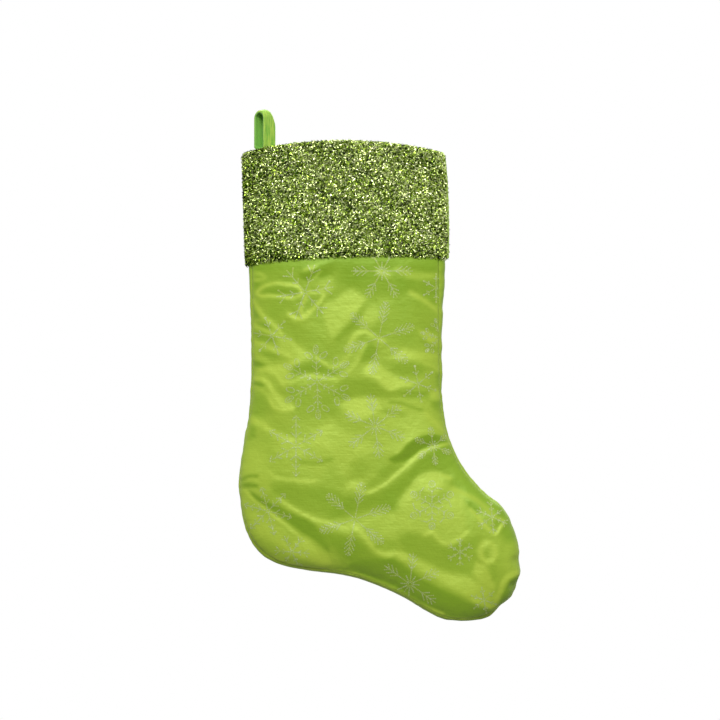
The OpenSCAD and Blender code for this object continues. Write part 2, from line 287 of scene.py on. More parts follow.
class Cut:
    """Columns of a panel's mesh: one for each step along the seam, running in to the panel's middle."""

    SECTION_RATIO = 3.7  # half width over half depth of a usual section, by which the rows are spaced
    ROW_CROWDING = 1.1  # power that draws the rows together towards the seam
    TURN_STEPS = 400  # steps in which a quarter of that section is measured

    def __init__(self, pitch, rows):
        step = np.linalg.norm(np.diff(OUTLINE, axis=0), axis=1)
        step = np.maximum(step, step[::-1])
        counts = MESH_RATIO * np.maximum(1, np.round(step / pitch / MESH_RATIO)).astype(int)
        self.edge = through(OUTLINE, counts)
        self.columns = len(self.edge)
        self.rows = rows
        rail = int(counts[:RUNGS - 1].sum())
        self.rail = rail
        self.middle = (self.edge + self.edge[::-1]) / 2
        self.middle[rail:self.columns - rail] = self.middle[rail]
        out = self.edge - self.middle
        self.width = np.linalg.norm(out, axis=1)
        self.out = out / self.width[:, None]
        rung = np.minimum(np.arange(self.columns), np.arange(self.columns)[::-1])
        marks = np.concatenate([[0], np.cumsum(counts[:RUNGS - 1])])
        share = np.interp(rung, marks, np.arange(RUNGS))
        s = sizes()
        depths = [s.mouth_depth, s.ankle_depth, s.heel_depth, s.ball_depth]
        self.depth = np.interp(share, [0, LEG_RUNGS, HEEL_RUNG, RUNGS - 1], depths) / 2
        # Power of the rounded section: 2 is an ellipse, and more is flatter with fuller edges
        self.fullness = np.interp(share, [0, 3, LEG_RUNGS, RUNGS - 1], [2, 2, 2.6, 3.0])[:, None]
        self.arch = np.maximum(0, 1 - share / LEG_RUNGS) * RIM_ARCH
        self.place = path_lengths(self.edge)
        forward = np.array(SEAM_FORWARD)
        self.forward = np.interp(self.place / self.place[-1], forward[:, 0], forward[:, 1] * MM)

    def index(self, j, k):
        """Number of a point of the mesh; the two halves of a rung, and all the toe, share their middle."""
        if k < self.rows:
            return j * self.rows + k
        return self.columns * self.rows + min(j, self.columns - 1 - j, self.rail)

    def surface(self, side, inset=0.0, forward=True):
        """Points, outward normals and distances from the seam, column by column, for side -1 front or
        1 back, with the seam brought forward or left on the widest line."""
        turn = np.linspace(0, math.pi / 2, self.TURN_STEPS)
        pace = np.hypot(self.SECTION_RATIO * np.sin(turn), np.cos(turn))
        run = np.concatenate([[0], np.cumsum(pace[1:])])
        row = np.linspace(0, 1, self.rows + 1) ** self.ROW_CROWDING
        even = np.interp(row * run[-1], run, turn) / (math.pi / 2)
        width, depth = (self.width - inset)[:, None], (self.depth - inset)[:, None]
        power = 2 / self.fullness
        first = (self.forward / self.depth)[:, None] ** (1 / power) if forward else 0.0
        first = -side * np.arcsin(first)
        turn = first + (math.pi / 2 - first) * even[None, :]
        across = np.maximum(np.cos(turn), 0) ** power
        bulge = np.sign(turn) * np.abs(np.sin(turn)) ** power
        flat = self.middle[:, None, :] + self.out[:, None, :] * (width * across)[..., None]
        y = SEAM_Y + side * depth * bulge
        z = flat[..., 1] + self.arch[:, None] * np.sin(turn) ** 2
        points = np.stack([flat[..., 0], y, z], axis=-1)
        steep = self.fullness - 1
        flat_normal = self.out[:, None, :] * (across**steep / width)[..., None]
        bulge_normal = side * np.sign(turn) * np.abs(bulge) ** steep / depth
        normal = unit(np.stack([flat_normal[..., 0], bulge_normal, flat_normal[..., 1]], axis=-1))
        reach = np.linalg.norm(np.diff(points, axis=1), axis=2)
        distance = np.concatenate([np.zeros((self.columns, 1)), np.cumsum(reach, axis=1)], axis=1)
        return points, normal, distance

    def skin(self, columns, rows):
        """Faces between the given columns and rows."""
        faces = []
        for a, b in zip(columns, columns[1:]):
            for k, n in zip(rows, rows[1:]):
                face = [self.index(a, k), self.index(b, k), self.index(b, n), self.index(a, n)]
                faces.append(face if face[2] != face[3] else face[:3])
        return faces

    def rim(self, columns, rows):
        """Point numbers round the panel's open edge."""
        seam = [self.index(j, 0) for j in columns]
        front = [self.index(columns[-1], k) for k in rows[1:]]
        back = [self.index(0, k) for k in rows[-2:0:-1]]
        return seam + front + back

    def panel(self, name, side, points, normals, thickness, material, painted_shading=None):
        """A closed sheet with a fine outer face and a coarser back, and its painted light and shade where
        given.
        """
        fine_columns, fine_rows = list(range(self.columns)), list(range(self.rows + 1))
        columns, rows = fine_columns[::MESH_RATIO], fine_rows[::MESH_RATIO]
        # Painted light and shade of the satin, set by the folds' lean; the lining gets none
        painted_shading = np.zeros(points.shape[:2]) if painted_shading is None else painted_shading
        # In the order of index: every column but its last point, then the middles that columns share
        place, out, turned = (
            np.concatenate([*grid[:, :self.rows], grid[:self.rail + 1, self.rows]])
            for grid in (points, normals, painted_shading)
        )
        size = len(place)
        outer = self.skin(fine_columns, fine_rows)
        inner = self.skin(columns, rows)
        kept = sorted({v for f in inner for v in f})
        number = {v: size + i for i, v in enumerate(kept)}
        faces = [f[::-1] for f in outer] + [[number[v] for v in f] for f in inner]
        fine, coarse = self.rim(fine_columns, fine_rows), self.rim(columns, rows)
        half = MESH_RATIO // 2
        for i, v in enumerate(coarse):
            a, b = number[v], number[coarse[(i + 1) % len(coarse)]]
            edge = [fine[(i * MESH_RATIO + n) % len(fine)] for n in range(MESH_RATIO + 1)]
            faces += [[a, edge[n], edge[n + 1]] for n in range(half)]
            faces.append([a, edge[half], b])
            faces += [[b, edge[n], edge[n + 1]] for n in range(half, MESH_RATIO)]
        place = np.concatenate([place, place[kept] - out[kept] * thickness])
        if side < 0:
            faces = [f[::-1] for f in faces]
        piece = new_piece(name, place, faces, material)
        # turned holds the painted light and shade, copied to the back's points too
        turned = np.concatenate([turned, turned[kept]]).astype(np.float32)
        piece.data.attributes.new("painted_shading", "FLOAT", "POINT").data.foreach_set("value", turned)
        return piece


# The front view and the folds seen in it

CAMERA = (0.09525, -2.2, -0.2485)
VIEW_MIDDLE = 360  # middle of the front view, in mm from its left and top edges
VIEW_ORIGIN = (264.75, 111.5)  # the row frame's origin in the front view, in mm from the same edges


def seen(x, y):
    """A place in the front view, in mm from its left and top edges, as [x, z] in the row frame."""
    return np.stack([np.asarray(x) - VIEW_ORIGIN[0], VIEW_ORIGIN[1] - np.asarray(y)], axis=-1) * MM


# Facets of the front panel's folds in the front view, in mm: lean, softness of its edge, outline.
# A facet of lean 1 is turned up by FACET_SLOPE, and one of lean -1 is turned down as much. Where facets
# overlap, the later one covers the earlier.
FRONT_FACETS = [
    (-0.45, 10, [(248, 262), (447, 258), (446, 335), (410, 352), (370, 340), (330, 332), (290, 312),
        (262, 305), (250, 300)]),
    (-0.8, 6, [(345, 260), (446, 262), (446, 306), (428, 300), (411, 290), (398, 298), (380, 296), (366, 294),
        (356, 287), (340, 284), (336, 270)]),
    (0.2, 9, [(262, 438), (300, 436), (345, 428), (372, 436), (372, 455), (345, 472), (300, 474),
        (262, 470)]),
    (0.29, 6, [(380, 398), (426, 398), (434, 412), (436, 428), (410, 436), (396, 452), (378, 456),
        (372, 430)]),
    (-1.2, 2.5, [(252, 282), (260, 282), (257, 288), (252, 291)]),
    (0.8, 2, [(303, 270), (312, 262), (326, 255), (331, 256), (322, 264), (312, 271), (306, 273)]),
    (-1.6, 2.5, [(300, 276), (306, 272), (315, 270), (324, 264), (330, 257), (345, 257), (338, 263),
        (326, 269), (316, 276), (310, 281), (303, 279)]),
    (-1.4, 4, [(316, 272), (328, 263), (338, 263), (332, 273), (322, 277)]),
    (0.25, 5, [(314, 283), (322, 279), (331, 278), (333, 286), (328, 294), (320, 292)]),
    (-0.5, 8, [(262, 302), (285, 302), (300, 322), (318, 330), (330, 342), (345, 336), (352, 332), (350, 342),
        (342, 356), (330, 370), (312, 366), (304, 356), (292, 340), (280, 328), (268, 316)]),
    (0.42, 3.5, [(322, 302), (333, 300), (345, 292), (352, 288), (358, 292), (366, 299), (362, 306),
        (357, 312), (350, 320), (343, 327), (337, 333), (333, 337), (330, 335), (327, 328), (324, 318),
        (323, 310)]),
    (-0.9, 2.5, [(336, 338), (344, 330), (352, 322), (360, 312), (363, 315), (358, 322), (352, 328),
        (344, 336), (338, 342)]),
    (0.3, 5, [(360, 318), (366, 308), (373, 304), (380, 308), (380, 318), (372, 326), (362, 326)]),
    (-0.2, 6, [(378, 300), (388, 296), (394, 302), (390, 314), (380, 314)]),
    (-1.3, 2, [(251, 306), (255, 308), (260, 318), (252, 319)]),
    (-0.9, 2, [(256, 322), (264, 322), (270, 327), (272, 330), (264, 328), (258, 326)]),
    (-0.7, 3, [(252, 330), (262, 332), (272, 337), (276, 343), (266, 342), (253, 344)]),
    (0.42, 4, [(279, 336), (290, 338), (300, 346), (312, 354), (310, 360), (298, 360), (285, 356),
        (276, 350)]),
    (-0.6, 3, [(260, 351), (270, 352), (282, 357), (274, 359), (262, 356)]),
    (-0.5, 10, [(392, 298), (410, 298), (432, 310), (440, 318), (436, 330), (415, 326), (396, 322)]),
    (0.9, 2.5, [(419, 330), (428, 331), (439, 338), (440, 343), (430, 343), (424, 338)]),
    (-0.8, 3, [(362, 350), (366, 345), (372, 343), (378, 350), (374, 358), (366, 362), (360, 362)]),
    (0.66, 4, [(398, 352), (404, 348), (416, 351), (438, 352), (440, 362), (430, 363), (418, 361), (408, 360),
        (398, 360), (393, 357)]),
    (-1.2, 2.5, [(251, 359), (258, 361), (266, 365), (262, 369), (252, 368)]),
    (0.95, 3, [(266, 366), (276, 365), (286, 362), (298, 358), (300, 362), (293, 366), (291, 372), (290, 378),
        (288, 386), (283, 387), (279, 382), (275, 375), (266, 372), (256, 372), (256, 369)]),
    (-0.9, 4, [(292, 372), (296, 366), (306, 362), (320, 364), (330, 369), (340, 371), (334, 375), (322, 373),
        (310, 372), (300, 375)]),
    (-1.3, 2, [(251, 381), (260, 381), (266, 385), (262, 387), (251, 386)]),
    (-0.6, 6, [(251, 392), (264, 394), (270, 402), (272, 412), (258, 418), (251, 420)]),
    (-0.4, 7, [(290, 386), (316, 382), (334, 386), (334, 400), (340, 414), (326, 418), (300, 420), (290, 412),
        (294, 402), (288, 394)]),
    (-0.9, 2.5, [(250, 424), (256, 426), (255, 438), (248, 440)]),
    (0.57, 6, [(316, 432), (322, 425), (330, 421), (340, 428), (352, 434), (360, 440), (372, 446), (380, 450),
        (372, 452), (356, 454), (340, 450), (325, 448), (312, 444)]),
    (0.82, 3, [(364, 368), (370, 363), (378, 362), (384, 368), (390, 373), (398, 378), (408, 380), (414, 382),
        (410, 387), (402, 387), (396, 389), (391, 391), (386, 389), (380, 383), (374, 378), (366, 375)]),
    (-0.6, 4, [(391, 364), (400, 362), (412, 362), (424, 366), (424, 374), (414, 377), (402, 375),
        (394, 371)]),
    (-0.9, 2.5, [(436, 374), (442, 372), (442, 388), (437, 388)]),
    (-0.6, 4, [(345, 378), (360, 378), (374, 382), (382, 388), (391, 393), (402, 390), (414, 389), (428, 391),
        (428, 398), (410, 398), (395, 396), (384, 398), (366, 396), (350, 399), (340, 401), (332, 396),
        (336, 386)]),
    (0.85, 3, [(430, 392), (436, 388), (443, 389), (443, 399), (434, 400), (430, 398)]),
    (-0.8, 3, [(431, 402), (443, 401), (443, 410), (434, 410)]),
    (0.7, 4, [(341, 403), (350, 399), (360, 397.5), (370, 397.5), (379, 400), (380, 406), (378, 412),
        (372, 416), (362, 420), (352, 419), (346, 414), (343, 409)]),
    (0.5, 3, [(274, 392), (284, 396), (292, 402), (292, 409), (284, 411), (276, 406), (271, 398)]),
    (0.45, 6, [(330, 438), (352, 440), (354, 462), (348, 476), (338, 474), (332, 458)]),
    (0.45, 5, [(275, 438), (300, 440), (305, 455), (285, 458), (272, 450)]),
    (0.6, 3, [(261, 470), (268, 474), (267, 486), (262, 492), (258, 484)]),
    (-1.2, 2.5, [(340, 256), (398, 254), (396, 262), (370, 264), (345, 266)]),
    (-2.3, 3, [(390, 459), (398, 454), (403, 450), (406, 445), (412, 441), (420, 437), (430, 435), (440, 436),
        (448, 441), (449, 444), (440, 444.5), (430, 446), (422, 449), (415, 454), (409, 459), (403, 462),
        (394, 463)]),
    (-0.9, 6, [(455, 456), (425, 454), (418, 460), (408, 470), (395, 480), (380, 490), (365, 496), (350, 495),
        (340, 500), (330, 496), (330, 518), (350, 515), (375, 508), (395, 512), (400, 500), (408, 490),
        (416, 480), (422, 474), (436, 471), (450, 475), (462, 470)]),
    (-0.6, 4, [(382, 468), (392, 463), (404, 463), (402, 468), (394, 474), (386, 480), (376, 486), (366, 487),
        (366, 483), (376, 477)]),
    (-0.3, 5, [(350, 464), (360, 460), (368, 466), (366, 478), (354, 478)]),
    (0.5, 8, [(240, 446), (262, 450), (272, 468), (272, 490), (258, 498), (240, 490)]),
    (-1.1, 2, [(241, 483), (250, 482), (258, 484), (258, 488), (242, 488)]),
    (-0.6, 6, [(273, 484), (290, 484), (310, 486), (325, 488), (340, 492), (345, 500), (335, 518), (318, 516),
        (305, 511), (292, 504), (280, 498), (272, 492)]),
    (-1.3, 3, [(249, 491), (254, 493), (262, 499), (270, 503), (280, 506), (288, 511), (296, 515), (305, 518),
        (314, 524), (320, 531), (327, 540), (333, 548), (328, 552), (322, 547), (314, 540), (304, 534),
        (294, 527), (284, 519), (272, 511), (262, 504), (252, 498)]),
    (0.75, 7, [(243, 498), (252, 506), (268, 518), (285, 530), (300, 545), (302, 552), (285, 550), (266, 540),
        (252, 528), (245, 515)]),
    (0.4, 3, [(282, 534), (292, 537), (300, 544), (296, 548), (286, 544)]),
    (-0.8, 4, [(248, 537), (256, 545), (266, 553), (280, 560), (295, 564), (312, 567), (330, 568), (345, 566),
        (360, 562), (380, 560), (392, 560), (400, 566), (404, 584), (400, 600), (360, 582), (330, 576),
        (300, 572), (280, 566), (258, 554)]),
    (-0.9, 5, [(318, 532), (330, 532), (344, 536), (356, 538), (366, 545), (374, 553), (380, 558), (378, 566),
        (360, 566), (344, 560), (334, 552), (326, 544)]),
    (1.1, 4, [(300, 540), (306, 538), (312, 544), (318, 550), (326, 556), (331, 563), (326, 565), (316, 563),
        (306, 559), (296, 556), (286, 550), (292, 548)]),
    (-1.8, 4, [(350, 565), (366, 561), (378, 559), (394, 559), (402, 566), (404, 590), (380, 583),
        (362, 576)]),
    (0.37, 5, [(330, 521), (345, 522), (358, 520), (372, 516), (385, 514), (398, 512), (402, 520), (400, 532),
        (395, 540), (385, 538), (372, 538), (362, 534), (350, 531), (338, 529)]),
    (0.53, 4, [(400, 500), (408, 490), (414, 482), (421, 476), (430, 473), (440, 473), (450, 476), (452, 482),
        (460, 487), (466, 494), (464, 502), (464, 512), (466, 525), (466, 533), (462, 538), (452, 542),
        (448, 544), (440, 540), (434, 533), (428, 534), (420, 532), (408, 531), (400, 530), (396, 518)]),
    (-0.5, 4, [(400, 540), (408, 533), (420, 535), (428, 538), (434, 539), (440, 546), (448, 549), (460, 545),
        (470, 540), (478, 537), (478, 550), (478, 566), (470, 574), (455, 572), (440, 568), (430, 562),
        (418, 557), (405, 553)]),
    (-1.3, 2, [(466, 500), (472, 501), (479, 507), (482, 513), (478, 513), (470, 507)]),
    (-0.5, 3, [(502, 506), (514, 516), (518, 540), (512, 540), (508, 524)]),
    (0.75, 4, [(400, 552), (408, 555), (420, 560), (432, 567), (444, 573), (456, 575), (468, 577), (480, 583),
        (486, 592), (492, 600), (488, 604), (478, 600), (468, 596), (456, 590), (444, 583), (432, 577),
        (420, 570), (408, 562), (400, 560)]),
    (-1.3, 4, [(400, 562), (412, 571), (424, 579), (436, 586), (450, 592), (462, 598), (476, 604), (490, 609),
        (500, 606), (494, 616), (475, 624), (455, 624), (436, 620), (416, 610), (398, 600)]),
    (0.9, 3, [(480, 585), (490, 588), (495, 599), (486, 600)]),
    (0.4, 3, [(480, 542), (488, 539), (496, 545), (498, 553), (494, 561), (486, 564), (479, 558),
        (477, 549)]),
    (0.9, 3, [(476, 562), (486, 565), (490, 575), (495, 586), (494, 592), (484, 585), (478, 580),
        (474, 572)]),
    (-1.1, 7, [(442, 438), (458, 452), (472, 466), (490, 482), (504, 498), (514, 516), (519, 540), (508, 542),
        (497, 530), (486, 515), (471, 502), (455, 490), (440, 474), (428, 458)]),
    (-1.4, 2.5, [(519, 573), (510, 579), (506, 586), (502, 594), (498, 602), (500, 609), (509, 603),
        (515, 592), (519, 582)]),
]

# Narrow ridges of the front panel in the front view, in mm: lean, width, line
FRONT_RIDGES = [
    (0.44, 2.8, [(253, 273), (262, 274.5), (265, 277), (259, 280), (253, 280)]),
    (-0.9, 4.6, [(265, 291), (280, 291.5), (296, 291)]),
    (1.1, 2.8, [(258, 291), (263, 287), (270, 284), (278, 283), (286, 284.5), (294, 285), (300, 288),
        (301, 293), (297, 297), (288, 297.5), (280, 296.5), (270, 295.5), (260, 295.5), (257, 293),
        (258, 291)]),
    (-0.6, 3.8, [(311, 297), (311, 306)]),
    (-0.5, 4.6, [(297, 300), (295, 311)]),
    (1.0, 2.8, [(309, 291), (305, 299), (302, 306), (301, 313), (303, 317)]),
    (0.9, 4.2, [(289, 314), (294, 317), (299, 318.5), (305, 316), (309, 312)]),
    (0.9, 2.6, [(306, 316), (314, 308), (320, 301), (324, 295)]),
    (0.44, 2.8, [(308, 291), (316, 293), (323, 292)]),
    (0.17, 2.8, [(309, 285), (314, 278), (321, 271)]),
    (0.65, 3.4, [(251, 299), (257, 306), (262, 314), (268, 320), (276, 327), (282, 335)]),
    (0.55, 2.8, [(252, 325), (262, 329), (270, 332), (278, 336)]),
    (0.77, 4.6, [(254, 342), (268, 347), (280, 352), (290, 356)]),
    (0.83, 4, [(411, 293), (420, 298), (428, 303), (435, 308.5), (443, 313)]),
    (0.27, 6.8, [(398, 270), (410, 275), (425, 276), (441, 276)]),
    (0.55, 6.8, [(380, 271), (387, 274)]),
    (-0.6, 3, [(421, 341), (430, 346), (440, 350)]),
    (0.65, 4.6, [(349, 348), (353, 338), (358, 333), (364, 331), (370, 334), (376, 338), (383, 341)]),
    (-0.3, 3.8, [(361, 338), (368, 340)]),
    (0.45, 3, [(365, 345), (361, 353), (357, 361), (352, 368), (346, 374), (339, 378), (330, 378.5),
        (318, 377), (308, 376), (298, 379), (289, 384)]),
    (0.5, 2.6, [(316, 357), (324, 363), (331, 367), (338, 366), (345, 360), (350, 350)]),
    (0.33, 3.8, [(252, 352), (262, 358), (271, 364)]),
    (0.93, 4.6, [(251, 378), (262, 379), (269, 384), (273, 392), (279, 400), (285, 407), (292, 408)]),
    (0.88, 3.8, [(270, 398), (274, 406), (281, 410), (291, 409)]),
    (0.33, 2.8, [(254, 386), (262, 390), (269, 395)]),
    (0.85, 6.1, [(253, 420), (262, 424), (270, 430), (280, 436), (291, 441)]),
    (-0.5, 3.4, [(390, 402), (402, 403), (412, 407), (421, 410)]),
    (-0.3, 5.3, [(386, 411), (404, 414)]),
    (0.8, 4.2, [(426, 414), (434, 422), (442, 431)]),
    (0.3, 3.8, [(397, 452), (404, 443), (412, 437), (422, 432), (432, 430), (440, 433), (447, 439)]),
    (0.6, 2.6, [(449, 443.5), (438, 446), (428, 449), (421, 452), (416, 457), (411, 462), (405, 467),
        (398, 473), (391, 479), (384, 485), (377, 489), (369, 492), (362, 492), (356, 489), (349, 488)]),
    (0.6, 3.6, [(411, 461), (416, 457), (421, 452.5)]),
    (0.66, 6.1, [(350, 484), (360, 484)]),
    (0.7, 3.2, [(267, 470), (276, 477), (284, 479), (294, 480), (304, 481), (314, 481)]),
    (-0.5, 3.6, [(300, 461), (312, 463), (322, 462), (331, 459)]),
    (0.8, 2.8, [(424, 363), (432, 366), (439, 370)]),
    (-1, 2.8, [(242, 480), (249, 476), (257, 476)]),
    (0.7, 3.4, [(280, 499), (291, 507), (299, 512), (308, 516), (317, 520), (327, 522), (336, 526),
        (348, 528)]),
    (0.9, 3, [(246, 492), (254, 501), (262, 507), (271, 514), (281, 522), (291, 530), (299, 537),
        (304, 545)]),
    (0.8, 4.2, [(260, 532), (270, 537), (280, 542), (290, 547), (301, 549)]),
    (-0.4, 3, [(331, 548), (338, 556), (345, 565)]),
    (0.93, 4.6, [(355, 526), (363, 534), (369, 541), (374, 547), (380, 552), (388, 554), (396, 553),
        (405, 556)]),
    (-0.2, 6.8, [(378, 546), (394, 545)]),
    (0.44, 4.6, [(419, 479), (430, 475), (440, 475), (450, 478)]),
    (-0.1, 9.1, [(420, 492), (434, 500), (446, 492)]),
    (0.99, 3.4, [(425, 534), (433, 532), (438, 538), (445, 543), (450, 543), (458, 539), (467, 532)]),
    (0.55, 4.6, [(454, 489), (466, 494), (476, 499), (486, 507), (495, 517)]),
    (0.95, 2.8, [(471, 509), (478, 517), (484, 524), (490, 530), (496, 534), (500, 528), (504, 521),
        (500, 518)]),
    (-0.4, 3, [(484, 519), (492, 525)]),
    (0.9, 4.6, [(488, 542), (493, 545), (495, 552), (493, 559), (488, 562), (483, 558), (481, 552),
        (483, 545), (488, 542)]),
    (-0.3, 3.8, [(487, 551), (487, 556)]),
    (0.27, 6.1, [(508, 548), (506, 566)]),
    (-0.4, 5.3, [(493, 568), (495, 578)]),
    (1.15, 3.8, [(517, 572), (508, 576), (503, 582), (500, 590), (497, 597), (495, 602), (490, 605),
        (483, 602), (474, 599)]),
    (1.6, 2.8, [(262, 553), (280, 561), (300, 566.5), (330, 571.5), (360, 577), (380, 586), (400, 595.5),
        (420, 606), (443, 615)]),
]
FACET_SLOPE = 0.205  # rise over run of a facet of lean 1
SLACK_REACH = 26  # mm over which the cloth settles back to its even curve
SIDEWAYS_PULL = 0.12  # how strongly the cloth evens out sideways, against 1 up and down
CREASE_SOFTNESS = 0.15  # mm2, which rounds the creases off
RIDGE_FALL = 2.5  # how steeply a ridge's lean falls off across its width
RIDGE_REACH = 1.5  # widths from its line at which a ridge ends
LINE_STEPS = 5  # steps of a ridge's smooth line between two of its points


def line_distance(x, y, line):
    """Distance from each place to a line through the given points."""
    best = np.full(np.shape(x), 1e9)
    for a, b in zip(line, line[1:]):
        d = b - a
        s = np.clip(((x - a[0]) * d[0] + (y - a[1]) * d[1]) / max(d @ d, 1e-9), 0, 1)
        best = np.minimum(best, np.hypot(x - a[0] - s * d[0], y - a[1] - s * d[1]))
    return best


def within(x, y, outline):
    """Which places lie inside an outline."""
    odd = np.zeros(np.shape(x), bool)
    for (ax, ay), (bx, by) in zip(outline, np.roll(outline, -1, axis=0)):
        if ay != by:
            odd ^= ((ay > y) != (by > y)) & (x < (bx - ax) * (y - ay) / (by - ay) + ax)
    return odd


class Folds:
    """The height of a panel's folds, as the smoothest cloth whose facets and ridges lean as they should."""

    SIZE = 512  # mm, and steps, of the square of the front view that the folds fill
    LEFT, TOP = 124, 184  # mm from the view's edges to that square's

    def __init__(self, facets, ridges):
        x, y = np.meshgrid(np.arange(self.SIZE) + self.LEFT, np.arange(self.SIZE) + self.TOP)
        lean = np.zeros(x.shape)
        for value, soft, outline in facets:
            outline = np.array(outline, float)
            part = self.window(outline, soft + 1)
            px, py = x[part], y[part]
            gap = line_distance(px, py, np.concatenate([outline, outline[:1]]))
            cover = smoothstep(0.5 + np.where(within(px, py, outline), gap, -gap) / (2 * soft))
            lean[part] += (value - lean[part]) * cover
        for value, width, points in ridges:
            points = np.array(points, float)
            line = through(points, [LINE_STEPS] * (len(points) - 1)) if len(points) > 2 else points
            part = self.window(line, RIDGE_REACH * width)
            cover = np.exp(-RIDGE_FALL * (line_distance(x[part], y[part], line) / width) ** 2)
            lean[part] += (value - lean[part]) * cover
        across = np.fft.fftfreq(self.SIZE)[None, :] * TAU
        down = np.fft.fftfreq(self.SIZE)[:, None] * TAU
        even = down**2 + SIDEWAYS_PULL * across**2 + 1 / SLACK_REACH**2
        soft = np.fft.fft2(lean) * np.exp(-CREASE_SOFTNESS * (down**2 + across**2))
        self.lean = np.real(np.fft.ifft2(soft))
        self.height = np.real(np.fft.ifft2(-1j * down * soft / even)) * FACET_SLOPE

    def window(self, line, margin):
        """The part of the square that holds a line, with a margin."""
        low = np.floor(line.min(axis=0) - margin - (self.LEFT, self.TOP)).astype(int)
        high = np.ceil(line.max(axis=0) + margin - (self.LEFT, self.TOP)).astype(int) + 1
        return slice(max(low[1], 0), high[1]), slice(max(low[0], 0), high[0])

    def at(self, grid, points):
        """Height or lean at points of the row frame, where the camera sees them."""
        near = CAMERA[1] / (CAMERA[1] - points[..., 1]) / MM
        u = np.clip((points[..., 0] - CAMERA[0]) * near + VIEW_MIDDLE - self.LEFT, 0, self.SIZE - 2)
        v = np.clip((CAMERA[2] - points[..., 2]) * near + VIEW_MIDDLE - self.TOP, 0, self.SIZE - 2)
        i, j = v.astype(int), u.astype(int)
        u, v = u - j, v - i
        top = grid[i, j] * (1 - u) + grid[i, j + 1] * u
        low = grid[i + 1, j] * (1 - u) + grid[i + 1, j + 1] * u
        return top * (1 - v) + low * v


PUCKER_LENGTHS = (8.3, 11.9, 17.3, 25.7, 38)  # mm from one gather to the next
PUCKER_BEATS = (45, 130)  # mm over which such gathers come and go
PUCKER_HEIGHT = 0.2 * MM
PUCKER_REACH = 8 * MM  # distance from the seam over which they fade
PUCKER_START = 1.2 * MM  # distance from the seam over which they rise


def seam_puckers(place, distance, seed):
    """Small gathers that the stitching pulls into the cloth along the seam."""
    rng = np.random.default_rng(seed)
    wave = np.zeros_like(place)
    for length in PUCKER_LENGTHS:
        beat = 0.4 + 0.6 * np.sin(place / (rng.uniform(*PUCKER_BEATS) * MM) * TAU + rng.uniform(0, TAU))
        wave += beat * np.sin(place / (length * MM) * TAU + rng.uniform(0, TAU))
    depth = np.exp(-distance / PUCKER_REACH) * (1 - np.exp(-distance / PUCKER_START))
    return PUCKER_HEIGHT * wave * depth


# Gathers in the toe's edge in the front view, in mm: middle, reach, rise
TOE_GATHERS = [
    ((517, 545), 7, 0.9), ((514, 559), 4.5, -1.4), ((518, 570), 5, 1.4), ((511, 583), 4.5, -1.6),
    ((507, 594), 5, 0.8), ((499, 606), 5, -0.8), ((513, 524), 5, -0.6),
]


def toe_gathers(x, z):
    """Knobs and dents that the seam's tight turn pulls into the toe's edge."""
    rise = np.zeros_like(x)
    for middle, reach, height in TOE_GATHERS:
        at = seen(*middle)
        rise += height * MM * np.exp(-((x - at[0]) ** 2 + (z - at[1]) ** 2) / (reach * MM) ** 2)
    return rise


SLACK_LENGTHS = (34, 46, 61, 83)  # mm from one wave of loose cloth to the next
SLACK_MIDDLE = 60  # mm, the length of a wave that has the plain height
SLACK_HEIGHT = 0.22 * MM


def slack(x, z, seed):
    """Long shallow waves of loose cloth."""
    rng = np.random.default_rng(seed)
    wave = np.zeros_like(x)
    for length in SLACK_LENGTHS:
        turn = rng.uniform(0, math.pi)
        phase = (x * math.cos(turn) + z * math.sin(turn)) / (length * MM) * TAU + rng.uniform(0, TAU)
        wave += length / SLACK_MIDDLE * np.sin(phase + 0.7 * np.sin(phase * 0.43 + rng.uniform(0, TAU)))
    return SLACK_HEIGHT * wave


BACK_LEAN = 0.9  # lean of the back panel's folds, as a share of the front's


def moved_copy(table):
    """Facets or ridges of the unseen back panel: the front's, as the seam carries them round, a little
    slacker and moved by up to 8 mm across and 10 mm up or down."""
    return [
        (BACK_LEAN * lean, size, [(x + 8 * math.sin(y / 41), y + 10 * math.sin(x / 37 + 1)) for x, y in line])
        for lean, size, line in table
    ]


# Materials

def add_node(tree, kind, inputs=(), **settings):
    """One node with its settings, and its inputs as values or links."""
    node = tree.nodes.new(kind)
    for name, value in settings.items():
        setattr(node, name, value)
    for name, value in dict(inputs).items():
        if isinstance(value, bpy.types.NodeSocket):
            tree.links.new(value, node.inputs[name])
        else:
            node.inputs[name].default_value = value
    return node


def new_material(name):
    """A material with an empty node tree."""
    material = bpy.data.materials.new(name)
    material.use_nodes = True
    tree = material.node_tree
    tree.nodes.clear()
    return material, tree


